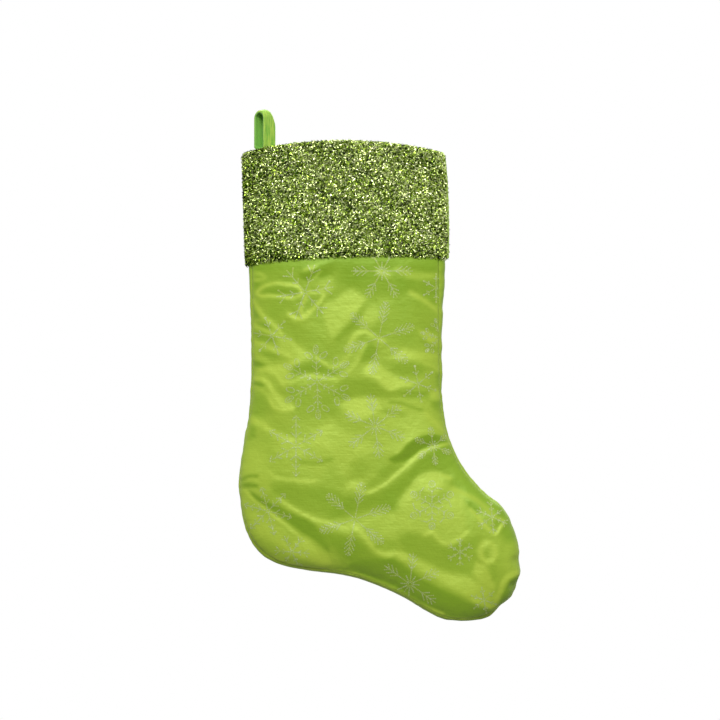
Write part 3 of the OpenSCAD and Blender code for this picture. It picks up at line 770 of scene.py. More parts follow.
def satin_material():
    """Polyester satin, woven in long floats: smooth, faintly ribbed, with broad highlights in its colour, and
    painted light and shade in its folds.
    """
    material, tree = new_material("polyester_satin")
    c = colours()
    place = add_node(tree, "ShaderNodeTexCoord").outputs["Object"]
    # Painted light and shade: folds turned up are painted paler, and folds turned down deeper and greener, as
    # is the cloth close under the cuff's hem as painted shadow; clouds about 25 mm wide vary the dye at
    # random
    painted_shading = add_node(tree, "ShaderNodeAttribute", attribute_name="painted_shading").outputs["Fac"]
    turned = add_node(tree, "ShaderNodeMapRange", {"Value": painted_shading, "From Min": -1.2, "From Max": 0.9})
    cloud = add_node(tree, "ShaderNodeTexNoise", {"Vector": place, "Scale": 1 / 0.025, "Detail": 3.0})
    uneven = add_node(
        tree, "ShaderNodeMapRange",
        {"Value": cloud.outputs["Fac"], "From Min": 0.3, "From Max": 0.7, "To Min": -0.1, "To Max": 0.1},
    )
    share = add_node(
        tree, "ShaderNodeMath", {0: turned.outputs["Result"], 1: uneven.outputs["Result"]},
        operation="ADD", use_clamp=True,
    )
    colour = add_node(
        tree, "ShaderNodeMix", {"Factor": share.outputs["Value"], "A": c.satin_shade_and_dye, "B": c.satin},
        data_type="RGBA",
    )
    # Uneven yarns that run across the cloth, 0.2 mm in real cloth, drawn 1.5 mm high and 17 mm long so
    # that they show
    yarns = add_node(tree, "ShaderNodeMapping", {"Vector": place, "Scale": (60, 60, 650)})
    ribs = add_node(
        tree, "ShaderNodeTexNoise", {"Vector": yarns.outputs["Vector"], "Scale": 1.0, "Detail": 2.0}
    )
    # Crinkles about 6 mm wide, too small to be folds
    crinkle = add_node(tree, "ShaderNodeTexNoise", {"Vector": place, "Scale": 1 / 0.006, "Detail": 3.0})
    fine = add_node(
        tree, "ShaderNodeBump", {"Height": ribs.outputs["Fac"], "Strength": 0.45, "Distance": 0.0003}
    )
    bump = add_node(
        tree, "ShaderNodeBump",
        {
            "Height": crinkle.outputs["Fac"], "Strength": 0.4, "Distance": 0.0012,
            "Normal": fine.outputs["Normal"],
        },
    )
    shader = add_node(
        tree, "ShaderNodeBsdfPrincipled",
        {
            "Base Color": colour.outputs["Result"], "Metallic": 0.15, "Roughness": 0.5, "IOR": 1.5,
            "Specular IOR Level": 0.4, "Normal": bump.outputs["Normal"],
        },
    )
    add_node(tree, "ShaderNodeOutputMaterial", {"Surface": shader.outputs["BSDF"]})
    return material


def glitter_material():
    """Screen-printed glitter ink: pale and a little rough, with pale grains painted bright as their glints,
    and thin here and there.
    """
    material, tree = new_material("glitter_ink")
    c = colours()
    place = add_node(tree, "ShaderNodeTexCoord").outputs["Object"]
    # Grains of glitter, 0.2 mm across, drawn at 0.9 mm so that they show, and painted in a brighter colour as
    # their glints
    grains = add_node(tree, "ShaderNodeTexVoronoi", {"Vector": place, "Scale": 1 / 0.0009})
    pick = add_node(
        tree, "ShaderNodeMapRange",
        {"Value": grains.outputs["Color"], "From Min": 0.66, "From Max": 0.74},
    )
    colour = add_node(
        tree, "ShaderNodeMix", {"Factor": pick.outputs["Result"], "A": c.glitter, "B": c.glitter_grain_glint},
        data_type="RGBA",
    )
    # Thin patches of ink about 3 mm wide, through which the satin shows
    patches = add_node(tree, "ShaderNodeTexNoise", {"Vector": place, "Scale": 1 / 0.003, "Detail": 2.0})
    cover = add_node(
        tree, "ShaderNodeMapRange",
        {"Value": patches.outputs["Fac"], "From Min": 0.4, "From Max": 0.56, "To Min": 0.25, "To Max": 1.0},
    )
    colour = add_node(
        tree, "ShaderNodeMix",
        {"Factor": cover.outputs["Result"], "A": c.satin, "B": colour.outputs["Result"]},
        data_type="RGBA",
    )
    bump = add_node(
        tree, "ShaderNodeBump", {"Height": grains.outputs["Distance"], "Strength": 0.2, "Distance": 0.0002}
    )
    shader = add_node(
        tree, "ShaderNodeBsdfPrincipled",
        {
            "Base Color": colour.outputs["Result"], "Metallic": 0.1, "Roughness": 0.5, "IOR": 1.5,
            "Normal": bump.outputs["Normal"],
        },
    )
    add_node(tree, "ShaderNodeOutputMaterial", {"Surface": shader.outputs["BSDF"]})
    return material


def tinsel_material():
    """Metallised film, slit and crimped: mirror-like facets that flash white, and dark gaps between them."""
    material, tree = new_material("metallised_film")
    c = colours()
    # Each strand has one tint, from the deepest foil at 0 to the brightest at 1
    tint = add_node(tree, "ShaderNodeAttribute", attribute_name="tint").outputs["Fac"]
    low = add_node(tree, "ShaderNodeMapRange", {"Value": tint, "From Max": 0.5})
    high = add_node(tree, "ShaderNodeMapRange", {"Value": tint, "From Min": 0.5})
    deep = add_node(
        tree, "ShaderNodeMix", {"Factor": low.outputs["Result"], "A": c.tinsel_dark, "B": c.tinsel},
        data_type="RGBA",
    )
    colour = add_node(
        tree, "ShaderNodeMix",
        {"Factor": high.outputs["Result"], "A": deep.outputs["Result"], "B": c.tinsel_light},
        data_type="RGBA",
    )
    place = add_node(tree, "ShaderNodeTexCoord").outputs["Object"]
    # Crimps about 1 mm long
    crimp = add_node(tree, "ShaderNodeTexNoise", {"Vector": place, "Scale": 1 / 0.001, "Detail": 1.0})
    bump = add_node(
        tree, "ShaderNodeBump", {"Height": crimp.outputs["Fac"], "Strength": 0.4, "Distance": 0.0003}
    )
    shader = add_node(
        tree, "ShaderNodeBsdfPrincipled",
        {
            "Base Color": colour.outputs["Result"], "Metallic": 1.0, "Roughness": 0.28,
            "Specular Tint": colour.outputs["Result"], "Normal": bump.outputs["Normal"],
        },
    )
    add_node(tree, "ShaderNodeOutputMaterial", {"Surface": shader.outputs["BSDF"]})
    return material


WAVE_SCALE = TAU / 20  # scale at which a wave texture repeats once in a metre


def woven_material(name, colour_value, deep_value, pitch, roughness, sheen):
    """Plain woven cloth: crossing yarns give a fine, dull grain.

    The yarns, 0.2 to 0.3 mm in real cloth, are drawn at the given pitch so that they show.
    """
    material, tree = new_material(name)
    place = add_node(tree, "ShaderNodeTexCoord").outputs["Object"]
    yarn = {"Vector": place, "Scale": WAVE_SCALE / pitch, "Distortion": 0.6}
    warp = add_node(tree, "ShaderNodeTexWave", yarn, bands_direction="X")
    weft = add_node(tree, "ShaderNodeTexWave", yarn, bands_direction="Z")
    weave = add_node(
        tree, "ShaderNodeMath", {0: warp.outputs["Fac"], 1: weft.outputs["Fac"]}, operation="MULTIPLY"
    )
    # Uneven dye in clouds about 30 mm wide
    cloud = add_node(tree, "ShaderNodeTexNoise", {"Vector": place, "Scale": 1 / 0.03, "Detail": 4.0})
    share = add_node(
        tree, "ShaderNodeMath", {0: weave.outputs["Value"], 1: cloud.outputs["Fac"]},
        operation="ADD", use_clamp=True,
    )
    colour = add_node(
        tree, "ShaderNodeMix", {"Factor": share.outputs["Value"], "A": deep_value, "B": colour_value},
        data_type="RGBA",
    )
    bump = add_node(
        tree, "ShaderNodeBump", {"Height": weave.outputs["Value"], "Strength": 0.3, "Distance": 0.0002}
    )
    shader = add_node(
        tree, "ShaderNodeBsdfPrincipled",
        {
            "Base Color": colour.outputs["Result"], "Roughness": roughness, "IOR": 1.45,
            "Sheen Weight": sheen, "Sheen Roughness": 0.5, "Normal": bump.outputs["Normal"],
        },
    )
    add_node(tree, "ShaderNodeOutputMaterial", {"Surface": shader.outputs["BSDF"]})
    return material


def velvet_material():
    """Velvet ribbon: short dense pile, dark where one looks into it and pale along its edges."""
    material, tree = new_material("velvet_ribbon")
    c = colours()
    place = add_node(tree, "ShaderNodeTexCoord").outputs["Object"]
    # Tufts of pile, 0.3 mm in real velvet, drawn nearly 2 mm wide and in rows up the ribbon so that they show
    rows = add_node(tree, "ShaderNodeMapping", {"Vector": place, "Scale": (1.0, 1.0, 0.14)})
    tufts = add_node(
        tree, "ShaderNodeTexNoise", {"Vector": rows.outputs["Vector"], "Scale": 1 / 0.0018, "Detail": 3.0}
    )
    pale = add_node(
        tree, "ShaderNodeMapRange", {"Value": tufts.outputs["Fac"], "From Min": 0.35, "From Max": 0.65}
    )
    colour = add_node(
        tree, "ShaderNodeMix", {"Factor": pale.outputs["Result"], "A": c.velvet_deep, "B": c.velvet},
        data_type="RGBA",
    )
    bump = add_node(
        tree, "ShaderNodeBump", {"Height": tufts.outputs["Fac"], "Strength": 0.6, "Distance": 0.0005}
    )
    shader = add_node(
        tree, "ShaderNodeBsdfPrincipled",
        {
            "Base Color": colour.outputs["Result"], "Roughness": 0.85, "IOR": 1.4, "Sheen Weight": 0.5,
            "Sheen Roughness": 0.35, "Sheen Tint": linear("#C8F090"), "Normal": bump.outputs["Normal"],
        },
    )
    add_node(tree, "ShaderNodeOutputMaterial", {"Surface": shader.outputs["BSDF"]})
    return material


def thread_material():
    """Spun polyester thread: two plies twisted together, with a slight lustre."""
    material, tree = new_material("spun_thread")
    c = colours()
    place = add_node(tree, "ShaderNodeTexCoord").outputs["Object"]
    # Twist of the plies, one turn every 0.8 mm
    twist = add_node(
        tree, "ShaderNodeTexWave", {"Vector": place, "Scale": WAVE_SCALE / 0.0008}, bands_direction="DIAGONAL"
    )
    colour = add_node(
        tree, "ShaderNodeMix",
        {"Factor": twist.outputs["Fac"], "A": linear("#71823A"), "B": c.thread},
        data_type="RGBA",
    )
    bump = add_node(
        tree, "ShaderNodeBump", {"Height": twist.outputs["Fac"], "Strength": 0.6, "Distance": 0.0002}
    )
    shader = add_node(
        tree, "ShaderNodeBsdfPrincipled",
        {
            "Base Color": colour.outputs["Result"], "Roughness": 0.55, "IOR": 1.5, "Sheen Weight": 0.2,
            "Normal": bump.outputs["Normal"],
        },
    )
    add_node(tree, "ShaderNodeOutputMaterial", {"Surface": shader.outputs["BSDF"]})
    return material


MADE = {}  # names of the materials made so far, by the function that makes each


def material_of(maker):
    """A material made once and shared by its pieces."""
    key = maker.__name__
    if key not in MADE:
        MADE[key] = maker().name
    return bpy.data.materials[MADE[key]]


def ground_material():
    """Tricot knit under the tinsel, painted dark and dull as the shade in the pile's gaps, so that they look
    deep.
    """
    return woven_material("tricot_ground", colours().shaded_ground, linear("#243206"), 0.0009, 0.7, 0.05)


def facing_material():
    """Close-woven facing cloth: smooth, with a slight sheen."""
    return woven_material("facing_cloth", colours().facing, linear("#86A534"), 0.0009, 0.5, 0.2)


def ribbon_back_material():
    """Back of the velvet ribbon: its bare ground weave, deeper in colour than the pile."""
    return woven_material("ribbon_back", colours().velvet_deep, linear("#579A38"), 0.0009, 0.6, 0.2)


def lining_material():
    """Taffeta lining: a plain crisp weave, dull and a little uneven."""
    return woven_material("taffeta_lining", colours().lining, linear("#83974A"), 0.0010, 0.75, 0.1)


# The satin shell

PANEL_ROWS = 88  # rows of a satin panel's mesh, from its seam to its middle
SLACK_SHARE = 0.4  # how much of the loose cloth's waves the satin shows
SEAM_HOLD = 3 * MM  # distance over which the seam holds the folds down
FOLD_START = 6 * MM  # height above the cuff's hem at which the folds begin
FOLD_GROWTH = 14 * MM  # drop over which they reach their full height
GROOVE_DEPTH, GROOVE_WIDTH = 0.8 * MM, 1.6 * MM  # groove that the stitching draws in
HEM_SHADE, HEM_SHADE_REACH = 1.2, 4.5 * MM  # painted shadow of the cuff close under its hem: how much it darkens the satin, and how far it reaches
CUFF_SHADE, CUFF_SHADE_REACH = 0.5, 25 * MM  # the cuff's painted shadow further down, fainter and wider


def panel_faces():
    """Points, normals and painted light and shade of the front and back panels, folded, with the cut they
    share.
    """
    cut = Cut(sizes().mesh_pitch, PANEL_ROWS)
    fold_top = MOUTH_Z - sizes().cuff_height + FOLD_START
    folded = {}
    for side, seed in ((-1, 11), (1, 23)):
        points, normals, distance = cut.surface(side)
        x, z = points[..., 0], points[..., 2]
        folds = Folds(*(table if side < 0 else moved_copy(table) for table in (FRONT_FACETS, FRONT_RIDGES)))
        height = folds.at(folds.height, points) * MM + SLACK_SHARE * slack(x, z, seed)
        free = (1 - np.exp(-(distance / SEAM_HOLD) ** 1.5)) * smoothstep((fold_top - z) / FOLD_GROWTH)
        height = height * free
        place = np.broadcast_to(cut.place[:, None], x.shape)
        height = height + seam_puckers(place, distance, seed) + toe_gathers(x, z)
        height = height * sizes().fold_depth - GROOVE_DEPTH * np.exp(-((distance / GROOVE_WIDTH) ** 2))
        hem = MOUTH_Z - sizes().cuff_height + hem_rise(leg_across(x))
        # Painted light and shade: each fold's lean sets how pale or deep its colour is painted
        painted_shading = folds.at(folds.lean, points) * free
        # Painted shadow of the cuff: the satin is painted darker close under the hem, and faintly further
        # down
        painted_shading = painted_shading - HEM_SHADE * np.exp(-(((hem - z) / HEM_SHADE_REACH) ** 2))
        painted_shading = painted_shading - CUFF_SHADE * np.exp(-np.maximum(hem - z, 0) / CUFF_SHADE_REACH)
        folded[side] = (points + normals * height[..., None], normals, painted_shading)
    return cut, folded


class STOCKING_OT_satin_panels(bpy.types.Operator):
    """Makes the folded front and back panels of printed satin"""

    bl_idname = "stocking.satin_panels"
    bl_label = "Satin panels"

    def execute(self, context):
        cut, folded = panel_faces()
        satin = material_of(satin_material)
        for side, node in ((-1, "front_panel"), (1, "back_panel")):
            points, normals, painted_shading = folded[side]
            panel = cut.panel("satin_" + node, side, points, normals, sizes().panel_thickness, satin, painted_shading)
            dress(panel, "stocking", "satin", node)
        return {"FINISHED"}


# Glitter snowflakes in the front view, in mm: middle, radius, turn in degrees, kind
FLAKES = [
    ((305, 292), 29, -20, "forked"),
    ((382, 271), 31, 30, "burst"),
    ((379, 338), 38, -11, "feather"),
    ((317, 382), 37, 2, "trefoil"),
    ((418, 384), 18, 10, "star"),
    ((375, 426), 33, 8, "burst"),
    ((296, 446), 31, 0, "arrow"),
    ((355, 519), 38, -11, "feather"),
    ((268, 511), 25, 15, "arrow"),
    ((432, 505), 25, 0, "rosette"),
    ((460, 552), 14, 0, "forked"),
    ((410, 584), 32, -6, "burst"),
    ((492, 517), 17, 5, "forked"),
    ((484, 600), 13, 10, "star"),
    ((272, 336), 19, 20, "star"),
    ((440, 338), 20, 14, "trefoil"),
    ((436, 288), 14, 0, "star"),
    ((433, 446), 20, 8, "burst"),
    ((292, 552), 18, 25, "forked"),
]


# Side strokes of one arm: distance out and length as shares of the radius, and angle in degrees
BARBS = {
    "forked": [(0.38, 0.2, 45), (0.68, 0.3, 45)],
    "burst": [(0.46, 0.26, 38), (0.62, 0.26, 38), (0.78, 0.2, 38)],
    "feather": [(0.4, 0.2, 36), (0.52, 0.24, 36), (0.64, 0.23, 36), (0.76, 0.19, 36), (0.88, 0.12, 36)],
    "trefoil": [(0.2, 0.12, 50), (0.34, 0.17, 50), (0.5, 0.15, 50)],
    "star": [(0.55, 0.26, 45)],
    "rosette": [(0.3, 0.22, 60), (0.55, 0.2, 60)],
    "arrow": [(0.3, 0.24, 50), (0.72, 0.2, 135), (0.98, 0.2, 140)],
}
ARM_TIPS = {"trefoil": 0.72, "rosette": 0.62}  # ends of the arms that stop short of the radius
RING_STEPS = 10
PRINT_RISE = 0.18 * MM  # height of the ink over the satin
DASH_PITCH = 1.6  # mm from one dash of grains to the next
DASH_SHARE = 0.8  # length of a dash as a share of that
STEEPEST = 0.35  # least share of a face's normal towards the viewer that takes the print


def ring(middle, radius, squash=1.0, turn=0.0):
    """A closed line round an oval."""
    a = np.linspace(0, TAU, RING_STEPS + 1)
    c, s = math.cos(turn), math.sin(turn)
    u, v = radius * np.cos(a), radius * squash * np.sin(a)
    return np.stack([middle[0] + u * c - v * s, middle[1] + u * s + v * c], axis=-1)


def flake_arm(kind):
    """Lines and filled dots of one arm along +x, for a radius of 1; a dot is its middle and its radius."""
    lines, dots = [np.array([(0.04, 0), (ARM_TIPS.get(kind, 1.0), 0)])], []
    for out, long, angle in BARBS[kind]:
        for hand in (-1, 1):
            a = math.radians(angle) * hand
            end = (out + long * math.cos(a), long * math.sin(a))
            lines.append(np.array([(out, 0), end]))
            if kind == "forked" and out > 0.5:
                dots.append((end, 0.035))
    if kind == "trefoil":
        lines.append(ring((0.88, 0), 0.13, 0.5))
        lines += [ring((0.72, hand * 0.2), 0.12, 0.55, hand * 0.9) for hand in (1, -1)]
        lines.append(np.array([(0.8, 0), (0.96, 0)]))
    if kind == "star":
        dots.append(((1.0, 0), 0.08))
    if kind == "rosette":
        lines += [ring((0.84, 0), 0.13), np.array([(0.5, 0.5), (0.72, 0.3)]), ring((0.84, 0), 0.05)]
    if kind == "burst":
        lines.append(np.array([(0.07, 0.04), (0.27, 0.156)]))
    return lines, dots


def flake_strokes():
    """Every printed line, and every dot as its edge and middle, as places in the front view."""
    lines, dots = [], []
    for middle, radius, turn, kind in FLAKES:
        arm_lines, arm_dots = flake_arm(kind)
        for arm in range(6):
            a = math.radians(turn + 90 + 60 * arm)
            c, s = math.cos(a), math.sin(a)

            def placed(p):
                u, v = np.moveaxis(np.asarray(p, float) * radius, -1, 0)
                return np.stack([middle[0] + u * c - v * s, middle[1] - u * s - v * c], axis=-1)

            lines += [placed(line) for line in arm_lines]
            dots += [(placed(ring(dot, size)[:-1]), placed(dot)) for dot, size in arm_dots]
    return lines, dots


class STOCKING_OT_snowflake_print(bpy.types.Operator):
    """Prints glitter snowflakes on both satin panels"""

    bl_idname = "stocking.snowflake_print"
    bl_label = "Snowflake print"

    def execute(self, context):
        lines, dots = flake_strokes()
        glitter = material_of(glitter_material)
        half = sizes().print_width / 2
        for side, name in ((-1, "front"), (1, "back")):
            mesh = bpy.data.objects["satin_" + name + "_panel"].data
            tree = BVHTree.FromPolygons(
                [v.co for v in mesh.vertices], [tuple(p.vertices) for p in mesh.polygons]
            )
            eye = Vector((CAMERA[0], -side * CAMERA[1], CAMERA[2]))
            points, faces = [], []

            def laid(places):
                """Points on the panel at the given places, or None where one misses it or lies too steep."""
                out = []
                for x, z in seen(*np.asarray(places).T):
                    hit, normal, _, _ = tree.ray_cast(eye, (Vector((x, 0, z)) - eye).normalized())
                    if hit is None or normal.y * side < STEEPEST:
                        return None
                    out.append(hit + normal * PRINT_RISE)
                return out

            for line in lines:
                run = path_lengths(line)
                steps = max(1, int(run[-1] / DASH_PITCH))
                s = np.linspace(0, run[-1], steps + 1)
                line = np.stack([np.interp(s, run, line[:, i]) for i in (0, 1)], axis=-1)
                ahead = unit(np.gradient(line, axis=0))
                across = np.stack([-ahead[:, 1], ahead[:, 0]], axis=-1) * half / MM
                for i in range(steps):
                    # Each dash of grains stops short of the next
                    end = line[i] + DASH_SHARE * (line[i + 1] - line[i])
                    corners = laid([
                        line[i] - across[i], line[i] + across[i], end + across[i + 1], end - across[i + 1],
                    ])
                    if corners:
                        n = len(points)
                        points += corners
                        faces.append((n, n + 1, n + 2, n + 3))
            for edge, middle in dots:
                corners = laid(list(edge) + [middle])
                if corners:
                    n, count = len(points), len(edge)
                    points += corners
                    faces += [(n + i, n + (i + 1) % count, n + count) for i in range(count)]
            if not faces:
                raise RuntimeError("no snowflake lies on the " + name + " panel")
            faces = [f if self.faces_out(points, f, side) else f[::-1] for f in faces]
            piece = new_piece("snowflakes_" + name, points, faces, glitter)
            dress(piece, "stocking", "satin")
        return {"FINISHED"}

    @staticmethod
    def faces_out(points, face, side):
        """Whether a face of the print points away from the stocking."""
        a, b, c = (Vector(points[i]) for i in face[:3])
        return (b - a).cross(c - a).y * side > 0


# The lining

LINING_PITCH = 3.0 * MM  # spacing of the lining's mesh along the seam
LINING_ROWS = 32  # rows of that mesh, from the seam to the middle
LINING_INSET = 4.6 * MM  # distance of the lining inside the satin's even curve
LINING_HOLD = 12 * MM  # distance over which the seam holds the lining taut


class STOCKING_OT_lining(bpy.types.Operator):
    """Makes the front and back lining inside the shell"""

    bl_idname = "stocking.lining"
    bl_label = "Lining"

    def execute(self, context):
        cloth = material_of(lining_material)
        cut = Cut(LINING_PITCH, LINING_ROWS)
        for side, name, seed in ((-1, "front", 5), (1, "back", 7)):
            node, shell = name + "_lining", "satin_" + name + "_panel"
            points, normals, distance = cut.surface(side, inset=LINING_INSET, forward=False)
            place = np.broadcast_to(cut.place[:, None], distance.shape)
            free = 1 - np.exp(-distance / LINING_HOLD)
            sag = np.minimum(0, slack(points[..., 0], points[..., 2], seed)) * free
            sag = sag + np.minimum(0, seam_puckers(place, distance, seed))
            points = points + normals * sag[..., None]
            piece = cut.panel("taffeta_" + node, side, points, normals, sizes().lining_thickness, cloth)
            dress(piece, "stocking", "lining", node)
        return {"FINISHED"}


# The cuff

LEG_HALF = 98 * MM  # half the width of the leg at the cuff's hem
LEG_MIDDLE = 0.84  # middle of the leg there, in such half widths from the origin


def leg_across(x):
    """Where a place lies across the leg at the cuff's hem: -1 at its back edge, 1 at its front edge."""
    return np.clip(x / LEG_HALF - LEG_MIDDLE, -1, 1)


def hem_rise(across):
    """How far the cuff's hem rides up, from the back edge of the leg at -1 to the front edge at 1."""
    return (0.8 + 3.2 * across) * MM


def leg_ring(turn, offset, height):
    """Points round the leg: turn from its front edge, offset out from the shell, height over the mouth."""
    turn, offset, height = np.broadcast_arrays(turn, offset, height)
    share = np.clip(-height / LEG_HEIGHT, 0, 1)
    back = OUTLINE[:LEG_RUNGS + 1]
    front = OUTLINE[::-1][:LEG_RUNGS + 1]
    z = MOUTH_Z + np.minimum(height, 0)
    back_x = np.interp(-z, -back[:, 1], back[:, 0])
    front_x = np.interp(-z, -front[:, 1], front[:, 0])
    s = sizes()
    depth = (s.mouth_depth + (s.ankle_depth - s.mouth_depth) * share) / 2
    return np.stack([
        (front_x + back_x) / 2 + ((front_x - back_x) / 2 + offset) * np.cos(turn),
        SEAM_Y + (depth + offset) * np.sin(turn),
        MOUTH_Z + height + RIM_ARCH * (1 - share) * np.sin(turn) ** 2
        + np.maximum(-height / s.cuff_height, 0) * hem_rise(np.cos(turn)),
    ], axis=-1)


GROUND_OUT = 2.4 * MM  # offset of the cuff's ground cloth outside the leg
GROUND_IN = -4.7 * MM  # offset of its lip inside the mouth
GROUND_THICKNESS = 0.9 * MM
ROLL_TOP = 1.7 * MM  # height of the ground cloth over the mouth's edge
HEM_EDGE = 0.8 * MM  # height of the ground cloth's lower edge above the cuff's foot
FACING_OUT = 0.6 * MM  # offset of the facing outside the leg
FACING_ENDS = (4 * MM, -0.5 * MM)  # its foot above the cuff's foot, and its top above the mouth's edge
FACING_THICKNESS = 0.5 * MM
SIDE_SEAM = (math.radians(-5), math.radians(3.5))  # middle and half width of the cuff's side seam, as turns
SEAM_WANDER = math.radians(1.2)  # turn by which that seam strays
SEAM_BULGE = 2.3 * MM  # height of that seam
CLOTH_TURNS = 160  # steps round the cuff's cloths


def cuff_section():
    """Middle line of the cuff's ground cloth as [offset, height], from its hem over the rim to its lip."""
    middle, half = (GROUND_OUT + GROUND_IN) / 2, (GROUND_OUT - GROUND_IN) / 2
    hem = -sizes().cuff_height + HEM_EDGE
    outside = [(GROUND_OUT - 0.9 * MM, hem), (GROUND_OUT - 0.2 * MM, hem + 2 * MM)]
    outside += [(GROUND_OUT, h) for h in np.linspace(hem + 5 * MM, ROLL_TOP - half, 22)]
    roll = [
        (middle + half * math.cos(a), ROLL_TOP - half + half * math.sin(a))
        for a in np.linspace(0, math.pi, 13)[1:]
    ]
    lip = [(GROUND_IN, h) for h in np.linspace(ROLL_TOP - half - 2 * MM, -sizes().lip_height, 4)]
    return np.array(outside + roll + lip)


def ring_cloth(name, section, thickness, material):
    """A closed sheet round the leg, with the given middle line."""
    ahead = unit(np.gradient(section, axis=0))
    across = np.stack([ahead[:, 1], -ahead[:, 0]], axis=-1) * thickness / 2
    loop = np.concatenate([section + across, (section - across)[::-1]])
    turn = np.linspace(0, TAU, CLOTH_TURNS, endpoint=False)
    points = leg_ring(turn[:, None], loop[None, :, 0], loop[None, :, 1]).reshape(-1, 3)
    return new_piece(name, points, tube_faces(CLOTH_TURNS, len(loop), closed=True), material)


class STOCKING_OT_cuff(bpy.types.Operator):
    """Makes the cuff's ground cloth, its facing and its side seam"""

    bl_idname = "stocking.cuff"
    bl_label = "Cuff"

    def execute(self, context):
        shaded_ground = ring_cloth("cuff_ground", cuff_section(), GROUND_THICKNESS, material_of(ground_material))
        dress(shaded_ground, "stocking", "tinsel", "cuff_band")
        cloth = material_of(facing_material)
        low, high = FACING_ENDS
        heights = np.linspace(low - sizes().cuff_height, high, 16)
        section = np.stack([np.full(len(heights), FACING_OUT), heights], axis=-1)
        facing = ring_cloth("cuff_lining_cloth", section, FACING_THICKNESS, cloth)
        dress(facing, "stocking", "facing", "cuff_facing")
        seam = self.side_seam(cloth)
        dress(seam, "stocking", "facing")
        return {"FINISHED"}

    def side_seam(self, cloth):
        """A smooth raised seam down the cuff's front edge, where its ground cloth shows between the pile."""
        heights = np.linspace(HEM_EDGE - sizes().cuff_height, 0.5 * MM, 50)
        profile = np.linspace(0, math.pi, 9)
        middle, half = SIDE_SEAM
        turn = middle + half * np.cos(profile)
        rng = np.random.default_rng(4)
        bends = np.linspace(heights[0], heights[-1], 9)
        wander = np.interp(heights, bends, rng.uniform(-1, 1, len(bends))) * SEAM_WANDER
        offset = GROUND_OUT - 0.3 * MM + SEAM_BULGE * np.sin(profile) ** 0.7
        points = leg_ring(turn[None, :] + wander[:, None], offset[None, :], heights[:, None])
        inner = leg_ring(turn[None, ::-1] + wander[:, None], GROUND_OUT - 0.5 * MM, heights[:, None])
        size = 2 * len(profile)
        points = np.concatenate([points, inner], axis=1).reshape(-1, 3)
        faces = [f[::-1] for f in tube_faces(len(heights), size)]
        faces += [tuple(range(size)), tuple(range(len(points) - 1, len(points) - 1 - size, -1))]
        return new_piece("cuff_side_seam", points, faces, cloth)


SPREAD_HEIGHT = -40 * MM  # height at which the strands are spread evenly round the cuff
PATCH_SCALE = 2.2  # how many times smaller the pile's light patches are than waves of loose cloth
PATCH_SEED = 31
STRAND_POINTS = 8
STRAND_FACES = np.array([0, 1, 3, 2, 2, 3, 5, 4, 4, 5, 7, 6])  # corners of a strand's three faces
RIBBON_MARGIN = 2 * MM  # room that the strands leave round the hanging ribbon
PILE_SHADE_HEM, PILE_SHADE_BACK = 12 * MM, 18 * MM  # reach of the pile's painted shade above the hem and from the back edge
